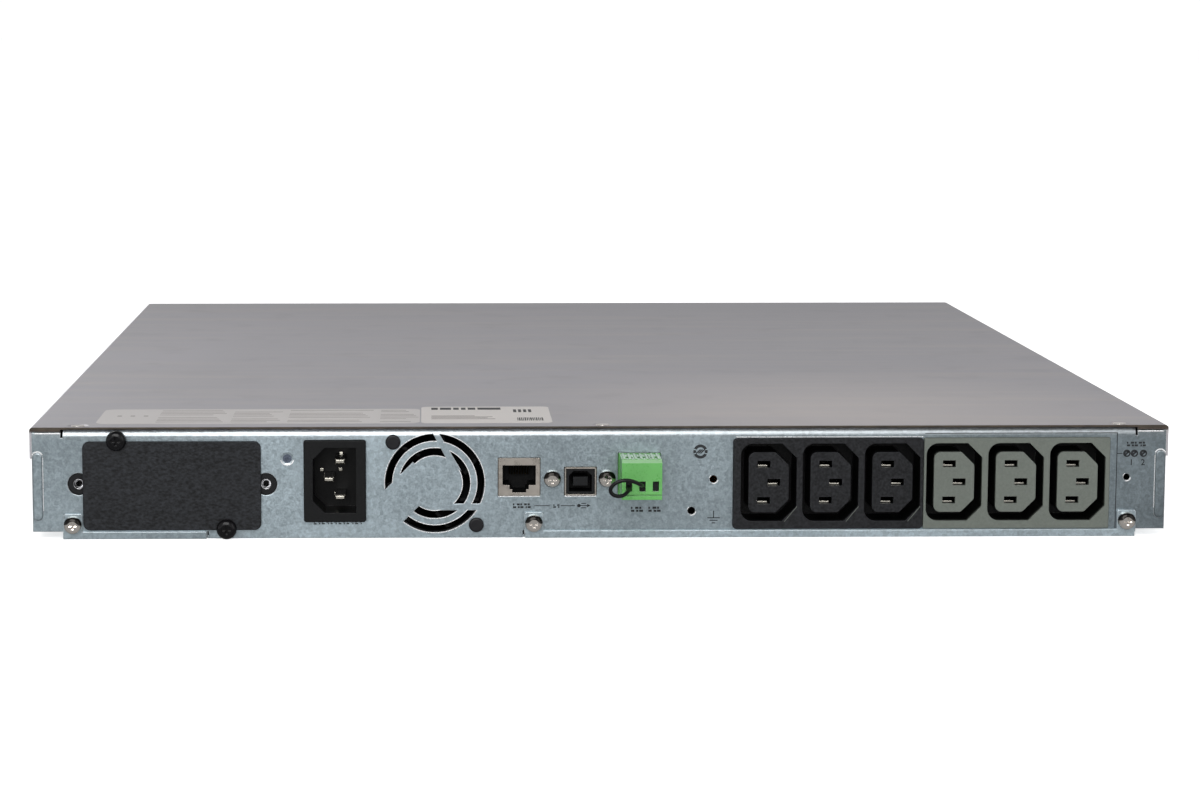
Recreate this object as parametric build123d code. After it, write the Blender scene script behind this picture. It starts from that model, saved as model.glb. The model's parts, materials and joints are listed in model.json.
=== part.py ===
from build123d import *
import math
import os

# One-unit rackmount uninterruptible power supply, in millimetres.
# +Z is up, the front bezel faces -Y and the socket panel faces +Y.
# The origin is the centre of the bottom face.
# Rear-panel features are placed by u, the distance from the panel's left edge as
# seen from behind, and v, the height above the bottom face.

# Case
WIDTH = 438.0
HEIGHT = 43.2
DEPTH = 509.0
REAR_Y = DEPTH / 2
FRONT_Y = -DEPTH / 2
BEZEL_DEPTH = 18.0
CASE_FRONT_Y = FRONT_Y + BEZEL_DEPTH
SHEET = 1.0
COVER_SHEET = 0.8
PANEL_IN_Y = REAR_Y - SHEET
PLATE_TOP = HEIGHT - COVER_SHEET
WALL_X = WIDTH / 2 - COVER_SHEET
STEP_WIDTH = 12.3
STEP_HEIGHT = 2.8
COVER_FLANGE = 12.0
CORNER_NOTCH = 12.3
FLANGE_SPANS = ((STEP_WIDTH, 67.4), (189.9, WIDTH - STEP_WIDTH))
PANEL_FOOT = (68.2, 189.1)
PANEL_BEND = 2.2
PANEL_LIP = 13.0
PANEL_HOLES = ((262.5, 22.6, 3.0), (254.1, 10.3, 3.0), (422.2, 23.0, 2.6))
RIDGE_INSET = 2.9
RIDGE_V = 20.4
RIDGE_SIZE = (26.4, 3.8, 0.8)
DIMPLE = (98.6, 30.9)
DIMPLE_R = 6.0
DIMPLE_DEPTH = 0.55
LABELS_U = ((24.0, 149.5, 52.0), (150.0, 201.0, 58.0))
LABEL_EDGE = 10.0
LABEL_T = 0.12

# Fasteners
SCREW_HOLE = 3.2
PAN_HEAD = 6.9
PAN_HEIGHT = 2.5
CHASSIS_SCREWS = ((16.2, 5.6), (193.3, 5.8), (422.4, 6.1))
PORT_SCREWS = ((200.4, 22.9), (221.5, 22.9))
PORT_HEAD = 6.7
COVER_SCREW_Y = (-200.0, -70.0, 60.0, 190.0)
COVER_SCREW_Z = 36.8
COVER_HEAD = 5.2
COVER_HOLE = 5.4
COVER_TAP = 3.0
TOP_SCREW_U = (18.0, 220.0, 420.0)
TOP_SCREW_Y = REAR_Y - 5.5
TOP_SINK = 8.4
TOP_SINK_DEPTH = 0.35
EAR_HOLES_Y = -205.0
EAR_HOLES_Z = 17.0
EAR_SPACING_Y = 40.0
EAR_SPACING_Z = 14.0
EAR_HOLE = 4.2

# Card slot
CARD_COVER = (20.2, 88.5, 3.4, 37.9)
CARD_COVER_T = 1.2
CARD_OPENING = (24.0, 84.7, 7.2, 34.2)
CARD_SCREWS = ((33.3, 38.3), (75.2, 3.9))
CARD_HEAD = 7.8
CARD_HEAD_HEIGHT = 2.7
CARD_BOSSES = ((18.6, 21.3), (90.4, 21.1))
CARD_BOSS = 8.0
CARD_CAGE_DEPTH = 92.0
INSERT = (4.0, 2.3)
INSERT_SINK = 0.7

# Inlet, fan and ports
INLET = (104.9, 128.8, 6.5, 38.4)
INLET_CAVITY = (108.4, 125.0, 10.1, 35.4)
INLET_PROUD = 2.0
INLET_PINS = ((114.5, 22.8), (118.8, 29.8), (118.8, 15.8))
FAN = (155.2, 21.3)
FAN_SIZE = 40.0
FAN_DEPTH = 20.0
FAN_CHAMFER = 1.6
FAN_RINGS = ((19.2, 16.4), (13.7, 10.8))
FAN_RIVETS = ((-16.0, 16.0), (16.0, -16.2))
RIVET_HOLE = 3.6
RJ45 = (179.7, 195.6, 16.4, 30.9)
USB = (205.2, 217.3, 16.4, 27.3)
PORT_DEPTH = 16.0
PORT_PROUD = 0.4

# Pluggable terminal
PLUG = (226.2, 241.5, 17.2, 32.5)
PLUG_OUT = 16.0
HEADER_DEPTH = 12.0
WELL_BACK = 7.0
WELL_DEPTH = 3.6
POLE_U = (228.9, 234.0, 239.1)
ENTRY_V = 22.3
ENTRY_DEPTH = 6.0
WIRE = 1.5
PIN_V = 25.4

# Sockets
OUTLET_U0 = 283.7
OUTLET_PITCH = 23.85
OUTLET_V = 21.4
BLOCK_V = (3.2, 38.6)
BLACK_BLOCK_U = (269.9, 343.5)
GREY_BLOCK_U = (343.5, 415.5)
BLOCK_PROUD = 1.2
BLOCK_BACK_Y = 226.0
GROOVE = (21.6, 30.2)
TONGUE = (15.45, 23.3)
GROOVE_DEPTH = 17.0
SLOT_SIZE = (5.0, 2.7)
SLOT_DEPTH = 14.0
CONTACT_SLOTS = ((-1.9, 7.05), (-1.9, -7.05), (2.0, 0.0))

# Battery bay
TRAY_X = (-205.2, 100.3)
TRAY_Y = (-236.0, 72.3)
TRAY_T = 0.8
TRAY_FLOOR = 1.4
BATTERY = (151.0, 94.0, 34.0)
BATTERY_X = (-204.0, -52.0)
BATTERY_Y0 = -234.6
BATTERY_PITCH = 101.0
BATTERY_Z = TRAY_FLOOR + TRAY_T + 0.1
STRAP_W = 6.0
STRAP_T = 0.8
BLADE_X = 12.0
DIVIDER_X = 101.5
HANDLE_T = 1.2

# Boards
PCB = 1.6
BOARD_Z = 8.0
POWER_BOARD = (-196.0, 96.0, 80.0, 203.0)
LOGIC_BOARD = (114.0, 204.0, -160.0, 120.0)
COMM_BOARD = (-26.0, 41.5, 205.0, 252.0)
COMM_Z = 16.4 - PCB

# Front
BEZEL_Z = (0.6, 41.4)
BEZEL_WALL = 2.0
BEZEL_FACE = 2.5
BEZEL_SPLIT = 101.2
BEZEL_GAP = 0.6
LCD = (114.0, 164.0, 10.5, 31.5)
DISPLAY_Y = -246.0
BUTTON_PROUD = 0.8
NAV_SIZE = (11.0, 7.0)
NAV_BUTTONS = {
    "nav_button_up": (178.0, 30.0),
    "nav_button_down": (178.0, 20.5),
    "nav_button_enter": (178.0, 11.0),
}
POWER_BUTTON = (203.0, 21.0)
POWER_BUTTON_D = 14.0


def block(x0, x1, y0, y1, z0, z1):
    """A box between two corners."""
    middle = Pos((x0 + x1) / 2, (y0 + y1) / 2, (z0 + z1) / 2)
    return middle * Box(x1 - x0, y1 - y0, z1 - z0)


def rect(a0, a1, b0, b1, radius=0.0):
    """A flat rectangle, with rounded corners where a radius is given."""
    w, h = a1 - a0, b1 - b0
    shape = RectangleRounded(w, h, radius) if radius else Rectangle(w, h)
    return Pos((a0 + a1) / 2, (b0 + b1) / 2) * shape


def disc(a, b, diameter):
    return Pos(a, b) * Circle(diameter / 2)


def rear(sketch, y0, y1):
    """Extrudes a sketch drawn in u and v, as seen from behind, from y0 to y1."""
    plane = Plane((WIDTH / 2, y0, 0), x_dir=(-1, 0, 0), z_dir=(0, 1, 0))
    return extrude(plane * sketch, y1 - y0)


def front(sketch, y0, y1):
    """Extrudes a sketch drawn in x and z from y0 to y1."""
    return extrude(Plane.XZ.offset(-y1) * sketch, y1 - y0)


def across(sketch, x0, x1):
    """Extrudes a sketch drawn in y and z from x0 to x1."""
    return extrude(Plane.YZ.offset(x0) * sketch, x1 - x0)


def at_rear(u, y, v):
    """The point at u and v on the plane y."""
    return (WIDTH / 2 - u, y, v)


def rod_y(x, z, diameter, y0, y1):
    return front(disc(x, z, diameter), y0, y1)


def pan_screw(head, height, shank, length):
    """A cross-head screw along +Z, whose head stands on z = 0."""
    dome = Cylinder(head / 2, height, align=(Align.CENTER, Align.CENTER, Align.MIN))
    dome = fillet(dome.edges().group_by(Axis.Z)[-1], height * 0.72)
    arm = head * 0.46
    dome -= Pos(0, 0, height - 0.45) * (Box(arm, 0.95, 1.9) + Box(0.95, arm, 1.9))
    body = Cylinder(shank / 2, length, align=(Align.CENTER, Align.CENTER, Align.MAX))
    return dome + body


def to_rear(part, u, y, v):
    """Places a part made along +Z so that it points out of the rear panel."""
    plane = Plane(at_rear(u, y, v), x_dir=(-1, 0, 0), z_dir=(0, 1, 0))
    return plane.location * part


def pattern(make, places):
    """Separate solids made by one function at each place."""
    return Compound(children=[make(*place) for place in places])


# ---------------------------------------------------------------- case


def ear_holes():
    """The tapped holes for rack ears, through both side walls."""
    holes = []
    for dy in (-EAR_SPACING_Y / 2, EAR_SPACING_Y / 2):
        for dz in (-EAR_SPACING_Z / 2, EAR_SPACING_Z / 2):
            holes.append(Pos(EAR_HOLES_Y + dy, EAR_HOLES_Z + dz) * Circle(EAR_HOLE / 2))
    return across(Sketch() + holes, -WIDTH, WIDTH)


def cover_screw_holes(diameter):
    holes = [disc(y, COVER_SCREW_Z, diameter) for y in COVER_SCREW_Y]
    return across(Sketch() + holes, -WIDTH, WIDTH)


def top_screw_holes(diameter):
    """Holes for the screws along the rear edge of the top."""
    holes = [disc(WIDTH / 2 - u, TOP_SCREW_Y, diameter) for u in TOP_SCREW_U]
    return extrude(Plane.XY.offset(PLATE_TOP - 2 * SHEET) * (Sketch() + holes), 4 * SHEET)


def make_base_pan():
    side = WALL_X - SHEET / 2
    inner = WIDTH / 2 - STEP_WIDTH - SHEET / 2
    shelf = STEP_HEIGHT + SHEET / 2
    floor = SHEET / 2
    line = FilletPolyline(
        (-side, PLATE_TOP - SHEET),
        (-side, shelf),
        (-inner, shelf),
        (-inner, floor),
        (inner, floor),
        (inner, shelf),
        (side, shelf),
        (side, PLATE_TOP - SHEET),
        radius=1.0,
    )
    pan = front(trace(line, SHEET), CASE_FRONT_Y, PANEL_IN_Y)
    for u0, u1 in FLANGE_SPANS:
        pan += rear(rect(u0 + 1.5, u1, 0, SHEET), PANEL_IN_Y - 1, REAR_Y + SHEET)
        pan += rear(rect(u0 + 0.1, u1, 0, STEP_HEIGHT), REAR_Y, REAR_Y + SHEET)
    for u, v in CHASSIS_SCREWS:
        tab = rect(u - 3.6, u + 3.6, STEP_HEIGHT - 1.5, v + 4.2, 1.0)
        pan += rear(tab, REAR_Y, REAR_Y + SHEET)
    for u, v in CHASSIS_SCREWS:
        pan -= rear(disc(u, v, SCREW_HOLE), REAR_Y - 2, REAR_Y + 2)
    return pan - ear_holes() - cover_screw_holes(COVER_TAP)


def make_top_cover():
    side = WIDTH / 2 - COVER_SHEET / 2
    top = HEIGHT - COVER_SHEET / 2
    low = HEIGHT - COVER_FLANGE
    line = FilletPolyline((-side, low), (-side, top), (side, top), (side, low), radius=0.8)
    cover = front(trace(line, COVER_SHEET), CASE_FRONT_Y, REAR_Y)
    hem_x = WIDTH / 2 - CORNER_NOTCH
    for sign in (-1, 1):
        x0, x1 = sorted((sign * (hem_x + 0.6), sign * (WALL_X + 0.2)))
        cover += block(x0, x1, REAR_Y - 2.4, REAR_Y, PLATE_TOP - 0.8, PLATE_TOP + 0.2)
    for u in TOP_SCREW_U:
        sink = Cone(COVER_HOLE / 2 + 0.5, TOP_SINK / 2, TOP_SINK_DEPTH)
        cover -= Pos(WIDTH / 2 - u, TOP_SCREW_Y, HEIGHT - TOP_SINK_DEPTH / 2) * sink
    return cover - cover_screw_holes(COVER_HOLE) - top_screw_holes(COVER_HOLE)


def fan_slots():
    """The two broken rings of air slots in front of the fan."""
    outer, inner = [Circle(wide) - Circle(narrow) for wide, narrow in FAN_RINGS]
    upper_arm = Polygon((-1.34, 20.5), (0.96, 20.5), (10.2, 4.8), (5.24, 8.0), align=None)
    right_arm = Polygon((0, -8.0), (22, -8.0), (22, -10.6), (0, -10.6), align=None)
    wide_arm = Polygon((-26, -9.4), (-8.4, 8.2), (0, 0), (0, -2.8), (-26, -28.8), align=None)
    return Pos(*FAN) * (outer + inner - upper_arm - right_arm - wide_arm)


def port_cutouts():
    """The holes in the rear panel, drawn in u and v."""
    u0, u1 = BLACK_BLOCK_U[0] + 1.3, GREY_BLOCK_U[1] - 1.3
    cuts = rect(*CARD_OPENING, 2.0)
    cuts += rect(INLET[0] + 1.2, INLET[1] - 1.2, INLET[2] + 1.2, INLET[3] - 1.2, 1.0)
    cuts += rect(u0, u1, BLOCK_V[0] + 1.3, BLOCK_V[1] - 1.3, 1.0)
    cuts += rect(RJ45[0] - 0.2, RJ45[1] + 0.2, RJ45[2] - 0.1, RJ45[3] + 0.2)
    cuts += rect(USB[0] - 0.2, USB[1] + 0.2, USB[2] - 0.1, USB[3] + 0.2)
    cuts += rect(PLUG[0] - 0.5, PLUG[1] + 0.5, PLUG[2] - 0.4, PLUG[3] + 0.5)
    for u, v in CARD_BOSSES:
        cuts += disc(u, v, CARD_BOSS + 0.6)
    for u, v in CHASSIS_SCREWS + PORT_SCREWS + CARD_SCREWS:
        cuts += disc(u, v, SCREW_HOLE)
    for u, v, diameter in PANEL_HOLES:
        cuts += disc(u, v, diameter)
    for du, dv in FAN_RIVETS:
        cuts += disc(FAN[0] + du, FAN[1] + dv, RIVET_HOLE)
    return cuts + fan_slots()


def make_rear_panel():
    edge = WIDTH / 2 - WALL_X
    low = SHEET + 0.1
    flat_top = PLATE_TOP - SHEET - PANEL_BEND
    outline = rect(edge, WIDTH - edge, STEP_HEIGHT, flat_top)
    outline += rect(STEP_WIDTH + 0.3, PANEL_FOOT[0] - 0.5, low, STEP_HEIGHT)
    outline += rect(PANEL_FOOT[0], PANEL_FOOT[1], 0, STEP_HEIGHT)
    outline += rect(PANEL_FOOT[1] + 0.5, WIDTH - STEP_WIDTH - 0.3, low, STEP_HEIGHT)
    outline += rect(edge, CORNER_NOTCH - 0.4, flat_top, PLATE_TOP - 1.2)
    outline += rect(WIDTH - CORNER_NOTCH + 0.4, WIDTH - edge, flat_top, PLATE_TOP - 1.2)
    panel = rear(outline, PANEL_IN_Y, REAR_Y)

    middle = PLATE_TOP - SHEET / 2
    line = FilletPolyline(
        (REAR_Y - SHEET / 2, flat_top),
        (REAR_Y - SHEET / 2, middle),
        (REAR_Y - PANEL_LIP, middle),
        radius=PANEL_BEND,
    )
    lip_x = WIDTH / 2 - CORNER_NOTCH - 0.4
    panel += across(trace(line, SHEET), -lip_x, lip_x)
    panel -= rear(port_cutouts(), PANEL_IN_Y - SHEET, REAR_Y)
    panel -= top_screw_holes(COVER_TAP)

    for sign in (-1, 1):
        x0, x1 = sorted((sign * (WALL_X - 2 * SHEET), sign * (WALL_X - SHEET)))
        panel += block(x0, x1, PANEL_IN_Y - 10, PANEL_IN_Y + 0.5, 4.5, 39.0)
    length, width, proud = RIDGE_SIZE
    for u in (RIDGE_INSET, WIDTH - RIDGE_INSET):
        slot = Pos(u, RIDGE_V) * SlotOverall(length, width, rotation=90)
        ridge = rear(slot, REAR_Y - 0.5, REAR_Y + proud)
        panel += fillet(ridge.edges().group_by(Axis.Y)[-1], 0.6)
    u, v = DIMPLE
    return panel - Pos(*at_rear(u, REAR_Y + DIMPLE_R - DIMPLE_DEPTH, v)) * Sphere(DIMPLE_R)


def make_divider_bracket():
    """The wall beside the battery bay, bent into the plate behind the display."""
    right = WALL_X - SHEET - 0.5
    shelf_x = WIDTH / 2 - STEP_WIDTH - SHEET - 0.5
    shelf_z = STEP_HEIGHT + SHEET + 0.2
    wall = block(DIVIDER_X, DIVIDER_X + SHEET, CASE_FRONT_Y, TRAY_Y[1], SHEET, 41.0)
    foot = block(DIVIDER_X, DIVIDER_X + 9, -230, TRAY_Y[1] - 4, SHEET, 2 * SHEET)
    plate = rect(DIVIDER_X, shelf_x, SHEET, 41.0) + rect(shelf_x, right, shelf_z, 41.0)
    plate -= rect(138, 162, 12, 22, 2.0)
    return wall + foot + front(plate, CASE_FRONT_Y, CASE_FRONT_Y + SHEET)


def make_chassis_screws():
    def one(u, v):
        return to_rear(pan_screw(PAN_HEAD, PAN_HEIGHT, 3.0, 6.0), u, REAR_Y + SHEET, v)

    return pattern(one, CHASSIS_SCREWS)


def make_port_screws():
    def one(u, v):
        return to_rear(pan_screw(PORT_HEAD, PAN_HEIGHT, 3.0, 6.0), u, REAR_Y, v)

    return pattern(one, PORT_SCREWS)


def flush_screw():
    """A flat cross-head screw along +Z, whose head ends at z = 0."""
    high = (Align.CENTER, Align.CENTER, Align.MAX)
    head = Cylinder(COVER_HEAD / 2, COVER_SHEET, align=high)
    arm = COVER_HEAD / 2
    head -= Pos(0, 0, -0.2) * (Box(arm, 0.7, 0.6) + Box(0.7, arm, 0.6))
    return head + Cylinder(COVER_TAP / 2 - 0.05, 5.0, align=high)


def make_cover_screws():
    """Flush screws through the cover's side flanges and along its rear edge."""

    def one(plane):
        return plane.location * flush_screw()

    planes = []
    for sign in (-1, 1):
        for y in COVER_SCREW_Y:
            origin = (sign * WIDTH / 2, y, COVER_SCREW_Z)
            planes.append(Plane(origin, x_dir=(0, 1, 0), z_dir=(sign, 0, 0)))
    for u in TOP_SCREW_U:
        planes.append(Plane(at_rear(u, TOP_SCREW_Y, HEIGHT)))
    return pattern(one, [(plane,) for plane in planes])


def make_rating_labels():
    """Two printed films on the cover, near its rear edge."""

    def one(u0, u1, far):
        x0, x1 = WIDTH / 2 - u1, WIDTH / 2 - u0
        return block(x0, x1, REAR_Y - far, REAR_Y - LABEL_EDGE, HEIGHT, HEIGHT + LABEL_T)

    return pattern(one, LABELS_U)


# ---------------------------------------------------------------- card slot


def make_card_slot_cover():
    plate = rect(*CARD_COVER, 2.7)
    for u, v in CARD_SCREWS:
        plate += disc(u, v, CARD_HEAD - 0.4)
    for u, v in CARD_SCREWS:
        plate -= disc(u, v, SCREW_HOLE)
    plate = rear(plate, REAR_Y, REAR_Y + CARD_COVER_T)
    return chamfer(plate.edges().group_by(Axis.Y)[-1].filter_by(GeomType.LINE), 0.25)


def make_card_cover_screws():
    def one(u, v):
        screw = pan_screw(CARD_HEAD, CARD_HEAD_HEIGHT, 3.0, 6.0)
        return to_rear(screw, u, REAR_Y + CARD_COVER_T, v)

    return pattern(one, CARD_SCREWS)


def make_card_cage():
    """A moulded guide for an option card, with a boss each side of the opening."""
    u0, u1, v0, v1 = CARD_OPENING
    face_y = PANEL_IN_Y - 0.1
    wall = 1.5
    flange = rect(u0 - 2, u1 + 2, v0 - wall, 36.4) + rect(13.2, 95.6, 14.0, 28.4, 1.5)
    cage = rear(flange - rect(*CARD_OPENING), face_y - 2.2, face_y)
    tube = rect(u0 - wall, u1 + wall, v0 - wall, v1 + wall) - rect(*CARD_OPENING)
    cage += rear(tube, face_y - CARD_CAGE_DEPTH, face_y - 1)
    for u, v in CARD_BOSSES:
        cage += rear(disc(u, v, CARD_BOSS), face_y - 9, REAR_Y - 0.1)
    for u, v in CARD_BOSSES:
        cage -= rear(disc(u, v, 4.1), face_y - 6, REAR_Y)
    for a, b in ((u0, u0 + 1.6), (u1 - 1.6, u1)):
        for v in (10.0, 13.2):
            rib = rect(a - 0.2, b, v, v + 1.2) if a == u0 else rect(a, b + 0.2, v, v + 1.2)
            cage += rear(rib, face_y - CARD_CAGE_DEPTH, face_y - 4)
    return cage


def make_card_inserts():
    """Threaded sleeves with a countersunk mouth, one in each boss."""
    outer, bore = INSERT

    def one(u, v):
        sleeve = rear(disc(u, v, outer) - disc(u, v, bore), PANEL_IN_Y - 6, REAR_Y - 0.1)
        mouth = sleeve.edges().group_by(Axis.Y)[-1].sort_by(SortBy.LENGTH)[0]
        return chamfer(mouth, INSERT_SINK)

    return pattern(one, CARD_BOSSES)


# ---------------------------------------------------------------- inlet


def inlet_shape(u0, u1, v0, v1, cut):
    """A rectangle with its two left corners cut off."""
    return Polygon(
        (u0 + cut, v0),
        (u1, v0),
        (u1, v1),
        (u0 + cut, v1),
        (u0, v1 - cut),
        (u0, v0 + cut),
        align=None,
    )


def make_inlet_housing():
    u0, u1, v0, v1 = INLET
    face = REAR_Y + INLET_PROUD
    frame = rear(rect(*INLET, 1.0), REAR_Y, face)
    frame = chamfer(frame.edges().group_by(Axis.Y)[-1], 0.4)
    body = rear(rect(u0 + 1.4, u1 - 1.4, v0 + 1.4, v1 - 1.4, 0.8), REAR_Y - 21, REAR_Y)
    cavity = rear(inlet_shape(*INLET_CAVITY, 4.6), face - 17, face)
    housing = frame + body - cavity
    for u, v in INLET_PINS:
        housing -= rear(rect(u - 2, u + 2, v - 1, v + 1), REAR_Y - 24, face - 16)
    return housing


def make_inlet_pins():
    """Three flat pins, each with a solder tab behind the housing."""

    def one(u, v):
        pin = rear(rect(u - 2, u + 2, v - 1, v + 1), REAR_Y - 21, REAR_Y - 0.2)
        pin = chamfer(pin.edges().group_by(Axis.Y)[-1], 0.5)
        return pin + rear(rect(u - 2, u + 2, v - 0.4, v + 0.4), REAR_Y - 28, REAR_Y - 20)

    return pattern(one, INLET_PINS)


# ---------------------------------------------------------------- outlets


def outlet_outline(width, height, cut, radius, soften):
    """A socket's outline: cut corners on the right, rounded ones on the left."""
    shape = Rectangle(width, height)
    shape = chamfer(shape.vertices().group_by(Axis.X)[-1], cut)
    shape = fillet([corner for corner in shape.vertices() if corner.X > 0], soften)
    return fillet(shape.vertices().group_by(Axis.X)[0], radius)


def outlet_places(first, count=3):
    return [(OUTLET_U0 + OUTLET_PITCH * i, OUTLET_V) for i in range(first, first + count)]


def make_outlet_block(u0, u1, first):
    """Three sockets in one moulding."""
    face = REAR_Y + BLOCK_PROUD
    v0, v1 = BLOCK_V
    left = u0 + (1.6 if first == 0 else 0.1)
    right = u1 - (0.1 if first == 0 else 1.6)
    corners = 1.6 if first == 0 else 0.5
    flange = rear(rect(u0 + 0.05, u1 - 0.05, v0, v1, corners), REAR_Y, face)
    flange = chamfer(flange.edges().group_by(Axis.Y)[-1], 0.3)
    body = rear(rect(left, right, v0 + 1.6, v1 - 1.6), BLOCK_BACK_Y, REAR_Y)
    part = flange + body
    groove = outlet_outline(*GROOVE, 5.6, 4.6, 0.6) - outlet_outline(*TONGUE, 5.0, 2.5, 1.4)
    for u, v in outlet_places(first):
        part -= rear(Pos(u, v) * groove, face - GROOVE_DEPTH, face)
        for du, dv in CONTACT_SLOTS:
            place = Pos(u + du, v + dv)
            part -= rear(place * Rectangle(*SLOT_SIZE), face - SLOT_DEPTH, face)
            part -= rear(place * Rectangle(1.6, 1.2), BLOCK_BACK_Y, face - SLOT_DEPTH + 1)
    return part


def make_outlet_contacts():
    """A folded spring contact in every slot, with a tail into the board behind."""
    face = REAR_Y + BLOCK_PROUD
    back = face - SLOT_DEPTH

    def one(u, v):
        lower = rear(rect(u - 2.2, u + 1.5, v - 1.1, v - 0.5), back, face - 1.8)
        upper = rear(rect(u - 2.2, u + 1.5, v + 0.75, v + 1.25), back, face - 8)
        fold = rear(rect(u - 2.2, u + 1.5, v - 1.1, v + 1.25), back, back + 0.6)
        tail = rear(rect(u - 0.6, u + 0.6, v - 0.4, v + 0.4), BLOCK_BACK_Y - 5, back + 0.3)
        return lower + upper + fold + tail

    places = []
    for u, v in outlet_places(0, 6):
        places += [(u + du, v + dv) for du, dv in CONTACT_SLOTS]
    return pattern(one, places)


def make_outlet_board():
    y1 = BLOCK_BACK_Y - 2
    board = rear(rect(272, 413, 5.2, 37, 1.0), y1 - PCB, y1)
    for u, v in outlet_places(0, 6):
        for du, dv in CONTACT_SLOTS:
            board -= rear(disc(u + du, v + dv, 1.7), y1 - PCB, y1)
    return board


# ---------------------------------------------------------------- fan


def fan_axis(shape):
    """Turns a shape made along +Z onto the fan's axis, with z = 0 at the panel."""
    return to_rear(shape, FAN[0], PANEL_IN_Y, FAN[1])


def make_fan_frame():
    low = (Align.CENTER, Align.CENTER, Align.MIN)
    square = RectangleRounded(FAN_SIZE, FAN_SIZE, 2.5)
    body = extrude(Plane.XY.offset(-FAN_DEPTH) * square, FAN_DEPTH)
    body = chamfer(body.edges().group_by(Axis.Z)[-1], FAN_CHAMFER)
    body -= Pos(0, 0, -FAN_DEPTH) * Cylinder(18.8, FAN_DEPTH, align=low)
    waist = Rectangle(FAN_SIZE + 2, FAN_SIZE + 2) - Circle(20.4)
    body -= extrude(Plane.XY.offset(-FAN_DEPTH + 3.6) * waist, FAN_DEPTH - 7.2)
    base = Pos(0, 0, -FAN_DEPTH) * Cylinder(10.8, 2.4, align=low)
    for angle in (20, 110, 200, 290):
        strut = Pos(14.6, 0, -FAN_DEPTH + 0.9) * Box(9.4, 2.6, 1.8)
        base += Rot(0, 0, angle) * strut
    base += Pos(0, 0, -FAN_DEPTH) * Cylinder(3.2, 13.0, align=low)
    body += base
    body -= Pos(0, 0, -FAN_DEPTH) * Cylinder(1.55, 13.0, align=low)
    for sx in (-16, 16):
        for sy in (-16, 16):
            body -= Pos(sx, sy, -FAN_DEPTH) * Cylinder(1.75, FAN_DEPTH, align=low)
    return fan_axis(body)


def make_fan_rotor():
    """A cup hub on a shaft, with seven slanted blades."""
    low = (Align.CENTER, Align.CENTER, Align.MIN)
    top = -1.2
    bottom = -FAN_DEPTH + 3.4
    hub = Pos(0, 0, bottom) * Cylinder(10.4, top - bottom, align=low)
    hub = fillet(hub.edges().group_by(Axis.Z)[-1], 1.2)
    hub -= Pos(0, 0, bottom) * Cylinder(9.0, top - bottom - 1.6, align=low)
    hub += Pos(0, 0, -FAN_DEPTH + 1.0) * Cylinder(1.5, top - 1.0 + FAN_DEPTH - 1.0, align=low)
    ring = Pos(0, 0, bottom) * (Cylinder(18.3, top - bottom, align=low) - Cylinder(10.2, 40))
    middle = (top + bottom) / 2
    for i in range(7):
        blade = Pos(14.4, 0, middle) * Rot(42, 0, 0) * Box(9.6, 0.9, 22)
        hub += Rot(0, 0, 360 / 7 * i) * (blade & ring)
    return fan_axis(hub)


def make_fan_rivets():
    """Push rivets that hold the fan to the panel."""

    def one(du, dv):
        head = Cylinder(2.9, 1.3, align=(Align.CENTER, Align.CENTER, Align.MIN))
        head = fillet(head.edges().group_by(Axis.Z)[-1], 0.8)
        stem = Cylinder(1.45, 9.0, align=(Align.CENTER, Align.CENTER, Align.MAX))
        return to_rear(head + stem, FAN[0] + du, REAR_Y, FAN[1] + dv)

    return pattern(one, FAN_RIVETS)


# ---------------------------------------------------------------- data ports


def rj45_cavity():
    middle = (RJ45[0] + RJ45[1]) / 2
    cavity = rect(middle - 6.4, middle + 6.4, 20.5, 28.2)
    cavity += rect(middle - 3.7, middle + 3.7, 18.9, 20.5)
    return cavity + rect(middle - 2.7, middle + 2.7, 17.6, 18.9)


def make_rj45_shell():
    u0, u1, v0, v1 = RJ45
    face = REAR_Y + PORT_PROUD
    t = 0.4
    tube = rect(*RJ45) - rect(u0 + t, u1 - t, v0 + t, v1 - t)
    shell = rear(tube, face - PORT_DEPTH, face)
    return shell + rear(rect(*RJ45) - rj45_cavity(), face - t, face)


def make_rj45_insert():
    u0, u1, v0, v1 = RJ45
    face = REAR_Y + PORT_PROUD - 0.45
    body = rear(rect(u0 + 0.5, u1 - 0.5, v0 + 0.5, v1 - 0.5), face - PORT_DEPTH + 1, face)
    return body - rear(rj45_cavity(), face - 12.5, face)


def make_rj45_contacts():
    """Eight sprung wires that slope down from the roof of the cavity."""
    face = REAR_Y + PORT_PROUD - 0.45
    middle = (RJ45[0] + RJ45[1]) / 2
    slope = Polygon(
        (face - 2.4, 28.2),
        (face - 3.0, 28.2),
        (face - 10.6, 23.4),
        (face - 10.0, 23.1),
        align=None,
    )

    def one(i):
        x = WIDTH / 2 - middle + (i - 3.5) * 1.02
        return across(slope, x - 0.22, x + 0.22)

    return pattern(one, [(i,) for i in range(8)])


def make_usb_shell():
    u0, u1, v0, v1 = USB
    face = REAR_Y + PORT_PROUD
    tube = rect(*USB, 0.6) - rect(u0 + 0.5, u1 - 0.5, v0 + 0.5, v1 - 0.5)
    return rear(tube, face - PORT_DEPTH, face)


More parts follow.
